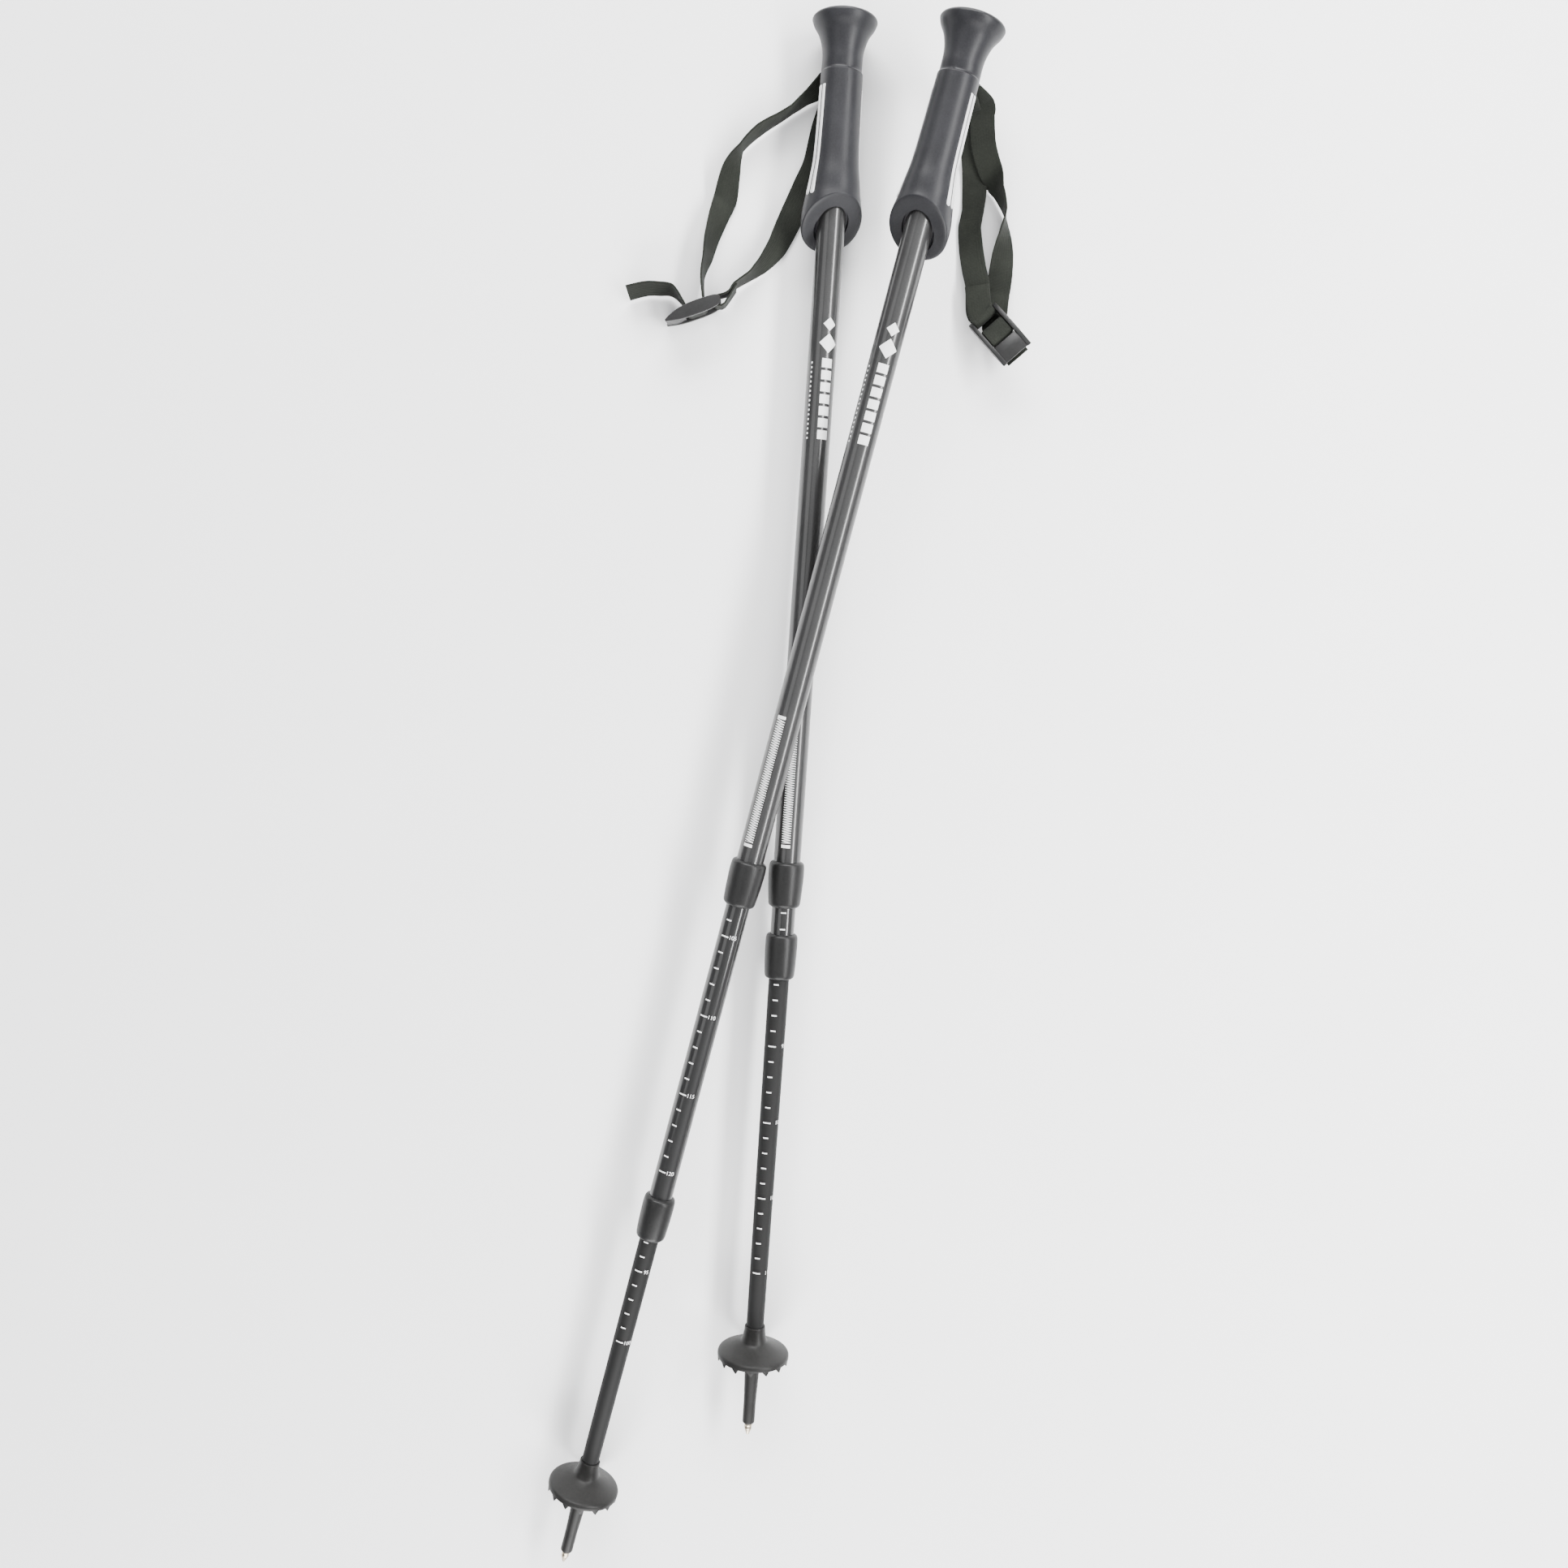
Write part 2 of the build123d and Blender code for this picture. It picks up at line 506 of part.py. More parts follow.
# the outer strand of b turns right over between its grip and its buckle
STRAP_B_OUTER = [(118, 402, 24, 14), (121, 384, 10.5, 12), (126, 370, 6.4, 22), (131, 357, 8.2, 72),
                 (135, 345, 8.8, 92), (135, 332, 7.8, 124), (134.5, 321, 4.8, 156), (133.5, 308, 2.6, 178),
                 (131.5, 295, 3.6, 190)]
STRAP_B_INNER = [(111, 398, 19, 13), (115.5, 381, 5, 9), (117, 364, 1.4, 3), (116, 348, 4.4, 32),
                 (114, 336, 4.2, 28), (115, 325, 3.4, 18), (117, 312, 4.4, 8), (119, 301, 6.6, 6)]
STRAP_B_TAIL = [(143.5, 257, 14.5, -12), (140.5, 261, 13.0, -12)]

buckle_a = Plane(Vector(-38.0, 292.0, 12.0) + SHIFT, x_dir=(-0.946, -0.325, 0),
                 z_dir=(-0.015, 0.0437, -0.999))
buckle_b = Plane(Vector(121.5, 284.0, 8.6) + SHIFT, x_dir=(0.56, -0.74, 0.372),
                 z_dir=(0.745, 0.628, 0.128))

for pole in (under, over):
    make_grip(pole)
    make_ribs(pole)
    make_pin(pole)
    make_tubes(pole)
    make_upper_lock(pole)
    make_lower_lock(pole)
    make_foot(pole)
make_buckle(under, buckle_a)
make_buckle(over, buckle_b)
make_strap(under, strap_path(under, -1, STRAP_A_OUTER, STRAP_A_INNER, STRAP_A_TAIL, buckle_a))
make_strap(over, strap_path(over, 1, STRAP_B_OUTER, STRAP_B_INNER, STRAP_B_TAIL, buckle_b, -1))
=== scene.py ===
"""Visual model of a crossed pair of telescopic trekking poles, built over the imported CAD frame."""
from math import ceil, cos, pi, radians, sin, sqrt
import bmesh
import bpy
from mathutils import Matrix, Vector


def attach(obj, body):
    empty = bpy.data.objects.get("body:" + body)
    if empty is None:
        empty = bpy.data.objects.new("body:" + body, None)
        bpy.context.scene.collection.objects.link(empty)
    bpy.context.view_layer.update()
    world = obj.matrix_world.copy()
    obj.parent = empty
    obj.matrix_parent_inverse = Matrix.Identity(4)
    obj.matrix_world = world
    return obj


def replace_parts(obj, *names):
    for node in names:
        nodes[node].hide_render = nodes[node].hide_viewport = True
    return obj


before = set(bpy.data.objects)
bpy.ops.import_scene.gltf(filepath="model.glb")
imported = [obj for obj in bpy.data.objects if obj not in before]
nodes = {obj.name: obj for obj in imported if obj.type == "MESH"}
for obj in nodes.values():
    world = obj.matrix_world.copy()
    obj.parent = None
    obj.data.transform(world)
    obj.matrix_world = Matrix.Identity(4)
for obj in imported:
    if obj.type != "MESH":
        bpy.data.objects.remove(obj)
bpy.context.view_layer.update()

scene = bpy.context.scene

# ------------------------------------------------------------------ poles, in mm as the CAD has them
SHIFT = Vector((-0.03, 34.35, -0.1))
UPPER_END, COLLAR_LENGTH = 536.0, 29.0
MIDDLE_INSIDE, LOWER_INSIDE = 430.0, 335.0      # tube above each collar when its section is closed
FOOT_LENGTH = 74.8                              # top of the basket hub to the tip


class Pole:
    """One pole: d towards the tip, front and right across it, and its stations, measured along d."""

    def __init__(self, tag, top, heading, slope, roll, middle_out, lower_out):
        self.tag = tag
        self.top = Vector(top) + SHIFT
        self.d = Vector((sin(heading), -cos(heading), slope)).normalized()
        side = Vector((0, 0, 1)).cross(self.d).normalized()
        up = self.d.cross(side)
        self.front = up * cos(radians(roll)) + side * sin(radians(roll))
        self.right = side * cos(radians(roll)) - up * sin(radians(roll))
        self.lower_collar = UPPER_END + middle_out
        self.middle_top = UPPER_END + middle_out - MIDDLE_INSIDE
        self.middle_end = self.lower_collar + COLLAR_LENGTH
        self.lower_top = self.middle_end + lower_out - LOWER_INSIDE
        self.hub = self.middle_end + lower_out
        self.tip = self.hub + FOOT_LENGTH
        m = Matrix((self.right, self.front, self.d)).transposed().to_4x4()
        m.translation = self.top
        self.matrix = Matrix.Scale(0.001, 4) @ m

    def point(self, t, right=0.0, front=0.0):
        return self.top + self.d * t + self.right * right + self.front * front


under = Pole("a", (36.45, 452.0, 19.6), -0.0681, 0.0047, 22.0, 17.2, 231.0)
over = Pole("b", (109.0, 438.5, 49.2), -0.2595, -0.0273, -22.0, 196.7, 159.8)


# ------------------------------------------------------------------ materials
def shader(name):
    """New node material: returns (material, add node, link, principled)."""
    mat = bpy.data.materials.new(name)
    mat.use_nodes = True
    tree = mat.node_tree
    tree.nodes.clear()
    out = tree.nodes.new("ShaderNodeOutputMaterial")
    bsdf = tree.nodes.new("ShaderNodeBsdfPrincipled")
    tree.links.new(bsdf.outputs[0], out.inputs[0])

    def add(kind, **values):
        node = tree.nodes.new("ShaderNode" + kind)
        for key, value in values.items():
            if hasattr(node, key):
                setattr(node, key, value)
            else:
                node.inputs[key.replace("_", " ")].default_value = value
        return node
    return mat, add, tree.links.new, bsdf


def ramp(add, stops):
    """Colour ramp with a stop for each (place, grey or colour)."""
    node = add("ValToRGB")
    while len(node.color_ramp.elements) < len(stops):
        node.color_ramp.elements.new(0.5)
    for element, (place, value) in zip(node.color_ramp.elements, stops):
        element.position = place
        element.color = (*value, 1) if isinstance(value, tuple) else (value, value, value, 1)
    return node


def mottled(name, low, high, rough, metallic=0.0, grain=420.0, bump=0.12, depth=0.00008,
            coat=0.0, specular=0.5, blotch=38.0):
    """General moulded, painted or metal surface: fine grain, slow blotches and uneven polish."""
    mat, add, link, bsdf = shader(name)
    where = add("TexCoord")
    fine = add("TexNoise", Scale=grain, Detail=6.0, Roughness=0.62)
    slow = add("TexNoise", Scale=blotch, Detail=4.0, Roughness=0.55)
    link(where.outputs["Object"], fine.inputs["Vector"])
    link(where.outputs["Object"], slow.inputs["Vector"])
    mix = add("Mix", data_type="FLOAT")
    mix.inputs["Factor"].default_value = 0.45
    link(fine.outputs["Fac"], mix.inputs["A"])
    link(slow.outputs["Fac"], mix.inputs["B"])
    colour = ramp(add, [(0.32, low), (0.68, high)])
    link(mix.outputs["Result"], colour.inputs[0])
    link(colour.outputs[0], bsdf.inputs["Base Color"])
    polish = ramp(add, [(0.3, max(rough - 0.06, 0.02)), (0.72, min(rough + 0.07, 1.0))])
    link(mix.outputs["Result"], polish.inputs[0])
    link(polish.outputs[0], bsdf.inputs["Roughness"])
    lift = add("Bump", Strength=bump, Distance=depth)
    link(fine.outputs["Fac"], lift.inputs["Height"])
    link(lift.outputs[0], bsdf.inputs["Normal"])
    bsdf.inputs["Metallic"].default_value = metallic
    bsdf.inputs["Specular IOR Level"].default_value = specular
    bsdf.inputs["Coat Weight"].default_value = coat
    bsdf.inputs["Coat Roughness"].default_value = 0.12
    return mat


def webbing_material():
    """Flat woven strap: UV in metres, u along the strap and v across it."""
    mat, add, link, bsdf = shader("woven webbing")
    uv = add("UVMap", uv_map="UVMap")
    warp = add("Mapping")
    warp.inputs["Scale"].default_value = (620.0, 1500.0, 1.0)
    link(uv.outputs[0], warp.inputs["Vector"])
    rows = add("TexWave", wave_type="BANDS", bands_direction="X", wave_profile="SIN",
               Scale=0.314, Distortion=0.6, Detail=1.0)
    cols = add("TexWave", wave_type="BANDS", bands_direction="Y", wave_profile="SIN",
               Scale=0.314, Distortion=0.5, Detail=1.0)
    link(warp.outputs[0], rows.inputs["Vector"])
    link(warp.outputs[0], cols.inputs["Vector"])
    yarn = add("Math", operation="MULTIPLY_ADD")
    yarn.inputs[1].default_value = 0.6
    link(rows.outputs["Fac"], yarn.inputs[0])
    link(cols.outputs["Fac"], yarn.inputs[2])
    where = add("TexCoord")
    fuzz = add("TexNoise", Scale=900.0, Detail=5.0, Roughness=0.7)
    wear = add("TexNoise", Scale=45.0, Detail=3.0, Roughness=0.5)
    link(where.outputs["Object"], fuzz.inputs["Vector"])
    link(where.outputs["Object"], wear.inputs["Vector"])
    blend = add("Math", operation="MULTIPLY_ADD")
    blend.inputs[1].default_value = 0.55
    link(fuzz.outputs["Fac"], blend.inputs[0])
    link(wear.outputs["Fac"], blend.inputs[2])
    colour = ramp(add, [(0.45, (0.004, 0.005, 0.0035)), (1.0, (0.013, 0.0148, 0.0112))])
    link(blend.outputs[0], colour.inputs[0])
    link(colour.outputs[0], bsdf.inputs["Base Color"])
    lift = add("Bump", Strength=0.55, Distance=0.00018)
    link(yarn.outputs[0], lift.inputs["Height"])
    link(lift.outputs[0], bsdf.inputs["Normal"])
    bsdf.inputs["Roughness"].default_value = 0.78
    bsdf.inputs["Specular IOR Level"].default_value = 0.16
    bsdf.inputs["Sheen Weight"].default_value = 0.03
    bsdf.inputs["Sheen Roughness"].default_value = 0.5
    return mat


def grey(value, tint=(1.0, 1.0, 1.0)):
    return tuple(value * c for c in tint)


WARM = (1.03, 1.0, 0.95)
MAT = {
    "grip_rubber": mottled("grip foam rubber", (0.0085, 0.0085, 0.010), (0.0155, 0.0155, 0.018), 0.42,
                           grain=1100.0, bump=0.20, depth=0.0001, specular=0.24),
    "rib_white": mottled("rib inlay", grey(0.55), grey(0.64), 0.5, grain=700.0, bump=0.05),
    "shaft_upper": mottled("upper tube finish", grey(0.016), grey(0.030), 0.40, metallic=0.5,
                           grain=1700.0, bump=0.08, depth=0.00003, coat=0.6, blotch=22.0),
    "shaft_middle": mottled("middle tube finish", grey(0.006), grey(0.010), 0.45, metallic=0.2,
                            grain=1500.0, bump=0.05, depth=0.00002, coat=0.8, specular=0.3, blotch=22.0),
    "shaft_lower": mottled("lower tube finish", grey(0.008), grey(0.012), 0.6, metallic=0.05,
                           grain=1500.0, bump=0.08, depth=0.00003, specular=0.16, blotch=22.0),
    "collar_plastic": mottled("collar plastic", grey(0.006), grey(0.010), 0.40, grain=800.0, bump=0.14,
                              depth=0.00007, specular=0.26),
    "basket_plastic": mottled("basket plastic", grey(0.006, WARM), grey(0.0115, WARM), 0.46, grain=600.0,
                              bump=0.18, depth=0.0001, specular=0.22),
    "ferrule_plastic": mottled("ferrule plastic", grey(0.006, WARM), grey(0.011, WARM), 0.50, grain=700.0,
                               bump=0.14, specular=0.22),
    "buckle_plastic": mottled("buckle plastic", grey(0.008), grey(0.014), 0.40, grain=800.0,
                              bump=0.12, specular=0.3),
    "tip_steel": mottled("hard tip", (0.33, 0.28, 0.21), (0.60, 0.53, 0.42), 0.32, metallic=1.0,
                         grain=700.0, bump=0.35, depth=0.00025),
    "print_white": mottled("printed marks", grey(0.70), grey(0.80), 0.48, grain=900.0, bump=0.03),
    "webbing": webbing_material(),
    "pin_steel": mottled("pin steel", grey(0.45), grey(0.56), 0.28, metallic=1.0, grain=500.0),
    "lock_nylon": mottled("nylon", grey(0.09), grey(0.12), 0.5, grain=500.0),
    "cone_plastic": mottled("cone plastic", (0.42, 0.06, 0.04), (0.55, 0.09, 0.06), 0.42, grain=500.0),
    "lock_alloy": mottled("machined alloy", grey(0.52), grey(0.62), 0.3, metallic=1.0, grain=400.0),
    "spring_steel": mottled("spring wire", grey(0.36), grey(0.46), 0.3, metallic=1.0, grain=500.0),
}


# ------------------------------------------------------------------ mesh helpers
def finish_piece(obj, mat, body, angle=35.0):
    """Material, smooth shading with sharp edges past the angle, and body."""
    obj.data.materials.clear()
    obj.data.materials.append(MAT[mat])
    obj.data.shade_smooth()
    obj.data.set_sharp_from_angle(angle=radians(angle))
    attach(obj, body)
    return obj


def outward(mesh):
    """Turns every face outward; a boolean cutter with inward faces cuts nothing."""
    bm = bmesh.new()
    bm.from_mesh(mesh)
    bmesh.ops.recalc_face_normals(bm, faces=bm.faces)
    bm.to_mesh(mesh)
    bm.free()


def grid(name, rings, uvs, matrix, closed=True, caps=()):
    """Mesh from rings of equal length; uvs has (u, v) in mm for each vertex, and may end on a seam's."""
    n, count = len(rings[0]), len(rings)
    verts = [v for ring in rings for v in ring]
    faces, loops = [], []
    span = n if closed else n - 1
    for i in range(count - 1):
        for j in range(span):
            k = (j + 1) % n
            faces.append((i * n + j, i * n + k, (i + 1) * n + k, (i + 1) * n + j))
            wrap = uvs[i][n][0] if closed and k == 0 and len(uvs[i]) > n else uvs[i][k][0]
            loops += [uvs[i][j], (wrap, uvs[i][k][1]), (wrap, uvs[i + 1][k][1]), uvs[i + 1][j]]
    for i in caps:
        order = list(range(n)) if i == count - 1 else list(range(n))[::-1]
        row = i % count
        faces.append([row * n + j for j in order])
        loops += [uvs[row][j] for j in order]
    mesh = bpy.data.meshes.new(name)
    mesh.from_pydata([tuple(v) for v in verts], [], faces)
    layer = mesh.uv_layers.new(name="UVMap")
    for item, (u, v) in zip(layer.data, loops):
        item.uv = (u * 0.001, v * 0.001)
    mesh.transform(matrix)
    mesh.validate()
    obj = bpy.data.objects.new(name, mesh)
    scene.collection.objects.link(obj)
    outward(mesh)
    return obj


def lathe(name, pole, profile, segments=96, closed_profile=False):
    """Turned piece: profile is (station, radius) in mm."""
    rows = profile + [profile[0]] if closed_profile else profile
    rings, uvs, run = [], [], 0.0
    for i, (t, r) in enumerate(rows):
        if i:
            run += sqrt((t - rows[i - 1][0]) ** 2 + (r - rows[i - 1][1]) ** 2)
        rings.append([Vector((r * sin(2 * pi * j / segments), r * cos(2 * pi * j / segments), t))
                      for j in range(segments)])
        uvs.append([(2 * pi * j / segments * max(r, 1.0), run) for j in range(segments + 1)])
    return grid(name, rings, uvs, pole.matrix)


def spline(points, per):
    """Catmull-Rom through 2D or 3D points, `per` samples to a span."""
    points = [Vector(p) for p in points]
    out = []
    for i in range(len(points) - 1):
        p0, p1 = points[max(i - 1, 0)], points[i]
        p2, p3 = points[i + 1], points[min(i + 2, len(points) - 1)]
        for k in range(per):
            u = k / per
            out.append(0.5 * (2 * p1 + (p2 - p0) * u + (2 * p0 - 5 * p1 + 4 * p2 - p3) * u * u
                              + (3 * p1 - p0 - 3 * p2 + p3) * u ** 3))
    out.append(points[-1])
    return out


def rounded(profile, radius=0.5, steps=4):
    """Breaks the corners of a 2D profile with small arcs."""
    out = [profile[0]]
    for a, b, c in zip(profile, profile[1:], profile[2:]):
        a, b, c = Vector(a), Vector(b), Vector(c)
        r = min(radius, (a - b).length * 0.45, (c - b).length * 0.45)
        p, q = b + (a - b).normalized() * r, b + (c - b).normalized() * r
        for k in range(steps + 1):
            u = k / steps
            w = p * (1 - u) ** 2 + b * 2 * u * (1 - u) + q * u * u
            out.append((w.x, w.y))
    out.append(profile[-1])
    return out


def plate(name, outline, low, high):
    """Flat plate: 2D outline (x, z across) carried from y low to y high, in its own axes."""
    n = len(outline)
    rings = [[Vector((x, low, z)) for x, z in outline], [Vector((x, high, z)) for x, z in outline]]
    mesh = bpy.data.meshes.new(name)
    faces = [(j, (j + 1) % n, n + (j + 1) % n, n + j) for j in range(n)]
    faces += [tuple(range(n))[::-1], tuple(range(n, 2 * n))]
    mesh.from_pydata([tuple(v) for ring in rings for v in ring], [], faces)
    outward(mesh)
    obj = bpy.data.objects.new(name, mesh)
    scene.collection.objects.link(obj)
    return obj


def apply_all(obj):
    """Applies every modifier to the mesh."""
    bpy.context.view_layer.update()
    mesh = bpy.data.meshes.new_from_object(obj.evaluated_get(bpy.context.evaluated_depsgraph_get()))
    obj.modifiers.clear()
    obj.data = mesh
    return obj


def join(name, objs):
    """One object out of several."""
    bm = bmesh.new()
    for obj in objs:
        obj.data.transform(obj.matrix_world)
        bm.from_mesh(obj.data)
        bpy.data.objects.remove(obj)
    mesh = bpy.data.meshes.new(name)
    bm.to_mesh(mesh)
    bm.free()
    out = bpy.data.objects.new(name, mesh)
    scene.collection.objects.link(out)
    return out


# ------------------------------------------------------------------ tubes, collars, ferrule and tip
UPPER_R, MIDDLE_R, LOWER_R, LOWER_END_R, WALL = 8.5, 7.5, 6.5, 5.6, 0.7
TAPER, LIP, GLIDE, EDGE = 230.0, 4.0, 0.08, 0.18
GRIP_SEAT = 40.0                                # upper tube starts here, inside the grip
LAND_FROM_END = 23.0                            # the ferrule's straight land starts this far before the tip


def tube(name, pole, stations, body, mat, node):
    """Hollow tube; stations are (t, outer radius), with both end edges broken."""
    (t0, r0), (t1, r1) = stations[0], stations[-1]
    outer = [(t0, r0 - EDGE), (t0 + EDGE, r0)] + stations[1:-1] + [(t1 - EDGE, r1), (t1, r1 - EDGE)]
    inner = [(t, r - WALL) for t, r in [(t1, r1)] + stations[-2:0:-1] + [(t0, r0)]]
    obj = lathe(name, pole, outer + inner, 96, closed_profile=True)
    finish_piece(obj, mat, body, 30)
    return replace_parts(obj, node)


def collar(name, pole, end, tube_r, slider, big, small, body, node):
    """Barrel-shaped collar with a soft top lip and a rolled lower edge."""
    s = end - COLLAR_LENGTH
    outer = spline([(s + 0.15, tube_r + 0.75), (s + 0.9, big - 0.85), (s + 2.0, big - 0.3),
                    (s + 4.0, big - 0.08), (s + 9.0, big), (s + 18.0, (big + small) / 2 + 0.05),
                    (end - 4.5, small + 0.02),
                    (end - 2.2, small - 0.22), (end - 0.9, small - 0.75), (end - 0.15, slider + 1.15)], 6)
    profile = [(s, tube_r + 0.3)] + [tuple(p) for p in outer]
    profile += [(end, slider + 0.75), (end - 0.15, slider + 0.3), (end - 0.6, slider + GLIDE),
                (end - LIP + 0.3, slider + GLIDE), (end - LIP + 0.3, tube_r), (s, tube_r)]
    obj = lathe(name, pole, profile, 96, closed_profile=True)
    finish_piece(obj, "collar_plastic", body, 40)
    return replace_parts(obj, node)


for pole in (under, over):
    t = pole.tag
    tube(f"tube_upper_{t}", pole, [(GRIP_SEAT, UPPER_R), (UPPER_END - LIP, UPPER_R)],
         f"pole_{t}", "shaft_upper", f"upper_shaft_{t}")
    tube(f"tube_middle_{t}", pole, [(pole.middle_top, MIDDLE_R), (pole.middle_end - LIP, MIDDLE_R)],
         f"middle_{t}", "shaft_middle", f"middle_shaft_{t}")
    tube(f"tube_lower_{t}", pole, [(pole.lower_top, LOWER_R), (pole.hub - TAPER, LOWER_R),
                                  (pole.hub, LOWER_END_R), (pole.hub + 5, LOWER_END_R)],
         f"lower_{t}", "shaft_lower", f"lower_shaft_{t}")
    collar(f"collar_upper_{t}", pole, UPPER_END, UPPER_R, MIDDLE_R, 11.2, 10.3,
           f"pole_{t}", f"upper_collar_{t}")
    collar(f"collar_lower_{t}", pole, pole.middle_end, MIDDLE_R, LOWER_R, 10.2, 9.6,
           f"middle_{t}", f"lower_collar_{t}")

    h, end = pole.hub, pole.tip
    land = end - LAND_FROM_END
    ferrule = rounded([(h - 20, 0.01), (h - 20, 4.0), (h - 18, 4.9), (h + 5, 4.9), (h + 5, 5.68),
                       (h + 13.2, 5.68), (h + 13.2, 6.8), (h + 15, 6.8), (h + 16, 5.25), (h + 24, 5.02),
                       (land, 4.0), (end - 9.0, 4.0), (end - 8.0, 3.0), (end - 8.0, 1.85),
                       (end - 18, 1.85), (end - 18, 0.01)], 0.5)
    obj = lathe(f"ferrule_cone_{t}", pole, ferrule, 64)
    finish_piece(obj, "ferrule_plastic", f"lower_{t}", 50)
    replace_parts(obj, f"ferrule_{t}")
    tip = rounded([(end - 18, 0.01), (end - 18, 1.8), (end - 8, 1.8), (end - 8, 2.6), (end - 7.2, 2.68),
                   (end - 6.4, 2.45), (end - 4.6, 2.5), (end - 3.2, 1.95), (end - 1.6, 1.35),
                   (end - 0.5, 1.0), (end - 0.15, 0.7), (end, 0.01)], 0.25)
    obj = lathe(f"tip_hard_{t}", pole, tip, 48)
    finish_piece(obj, "tip_steel", f"lower_{t}", 40)
    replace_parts(obj, f"carbide_tip_{t}")


# ------------------------------------------------------------------ basket
BASKET_R, TEETH, TOOTH_HALF = 23.3, 14, 6.2     # teeth reach that many degrees to each side
HUB_BORE_R, TOOTH_ROOT = 5.78, 19.6
TOOTH_SHAPE = [(-1.0, 20.3), (-0.55, 21.6), (0.0, 23.0), (0.35, 23.4), (0.7, 21.9), (1.0, 20.3)]


def make_basket(pole):
    """Umbrella-shaped disc on a tapered hub, with hooked teeth under the rim."""
    h, t = pole.hub, pole.tag
    outer = spline([(h + 0.4, 6.65), (h + 4.0, 7.0), (h + 8.5, 7.9), (h + 11.0, 9.6), (h + 14.0, 15.5),
                    (h + 16.6, 21.6), (h + 17.6, 22.9)], 8)
    inner = spline([(h + 18.6, 21.3), (h + 16.0, 15.5), (h + 13.2, 10.0)], 6)
    profile = [(h, HUB_BORE_R), (h, 6.35)] + [tuple(p) for p in outer]
    profile += [(h + 18.4, 23.25), (h + 19.4, BASKET_R), (h + 20.4, 23.2), (h + 20.6, 22.9), (h + 20.6, 22.0)]
    profile += [tuple(p) for p in inner] + [(h + 12.9, HUB_BORE_R)]
    disc = lathe(f"basket_disc_{t}", pole, profile, 112, closed_profile=True)
    parts = [disc]
    for i in range(TEETH):
        a = radians(360.0 * i / TEETH)
        rings = []
        for lean, top in TOOTH_SHAPE:
            w = a + radians(TOOTH_HALF) * lean
            out, root = Vector((sin(w), cos(w), 0)), Vector((0, 0, h + TOOTH_ROOT))
            hook = 0.7 if top > 22 else 0.3
            rings.append([out * 21.75 + root, out * 23.1 + root,
                          out * (23.1 + 0.1 * hook) + Vector((0, 0, h + (TOOTH_ROOT + top) / 2)),
                          out * 22.9 + Vector((0, 0, h + top)),
                          out * (22.3 - 0.2 * hook) + Vector((0, 0, h + top - 0.1))])
        uvs = [[(k, i) for k in range(6)] for i in range(len(rings))]
        parts.append(grid(f"tooth_{t}_{i}", rings, uvs, pole.matrix, caps=(0, len(rings) - 1)))
    obj = join(f"basket_disc_{t}", parts)
    finish_piece(obj, "basket_plastic", f"basket_body_{t}", 42)
    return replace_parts(obj, f"basket_{t}")


for pole in (under, over):
    make_basket(pole)


# ------------------------------------------------------------------ grip and its ribs
NECK = [(1.2, 19.5), (4.2, 18.3), (9.5, 15.0), (16.5, 12.75), (23.6, 12.1), (35.0, 12.45), (60.0, 12.85),
        (82.0, 13.65), (98.0, 15.9), (111.0, 18.1), (118.0, 18.5), (124.0, 17.9), (129.0, 16.3),
        (133.0, 13.8), (136.0, 10.8)]
CAP = [(-3.2, 0.02), (-3.1, 5.0), (-2.8, 9.0), (-2.25, 13.2), (-1.5, 16.4), (-1.05, 17.7), (-0.55, 18.6),
       (0.1, 19.2), (0.7, 19.46), (1.2, 19.5)]
PAD_START, PAD_FADE, PAD_END, PAD_RISE = 31.0, 90.0, 102.5, 1.0
GROOVE_LENGTH, GROOVE_DEPTH = 7.0, 0.7
SQUEEZE_FROM = 96.0                             # below this station the rows close up to the oblique face
CUT_STATION, CUT_REACH, CUT_SLOPE = 104.0, 17.0, 0.9
BORE_END, BORE_R = 38.0, 8.5                    # blind hole that the tube is pushed into
RIB_ANGLES, RIB_SPAN, RIB_HALF = (72.0, 89.0), (39.0, 104.0), 6.2
RIB_SINK, RIB_HEIGHT, RIB_ROOT, RIB_ROUND = 0.5, 1.25, 1.0, 1.5
RECESS_R, RECESS_DEPTH = 10.3, 2.2
PIN_AT, LEAN, SWING = 22.0, 35.0, 20.0
POCKET_HALF, POCKET_REACH, POCKET_HALF_WIDTH = 4.2, 24, 8.3
neck_curve = spline(NECK, 10)


def body_radius(t):
    """Radius of the grip's turned shape at station t."""
    if t <= neck_curve[0].x:
        return neck_curve[0].y
    for a, b in zip(neck_curve, neck_curve[1:]):
        if a.x <= t <= b.x:
            return a.y + (b.y - a.y) * (t - a.x) / (b.x - a.x)
    return neck_curve[-1].y


def smooth(edge0, edge1, x):
    """Rises smoothly from 0 at edge0 to 1 at edge1."""
    u = min(max((x - edge0) / (edge1 - edge0), 0.0), 1.0)
    return u * u * (3 - 2 * u)


def cut_station(r, c):
    """Station of the oblique lower face at radius r, c the cosine of the angle from the front."""
    return CUT_STATION + (CUT_REACH - r * c) * CUT_SLOPE


def pad_rise(c, place):
    """Height of the raised front pad, less the groove above it."""
    front = max(c, 0.0)
    pad = smooth(PAD_START - 0.5, PAD_START + 0.5, place) * (1 - smooth(PAD_FADE, PAD_END, place))
    deepest = PAD_START - 0.9
    groove = smooth(PAD_START - GROOVE_LENGTH, deepest, place) * (1 - smooth(deepest, PAD_START, place))
    return PAD_RISE * front * pad - GROOVE_DEPTH * front * groove


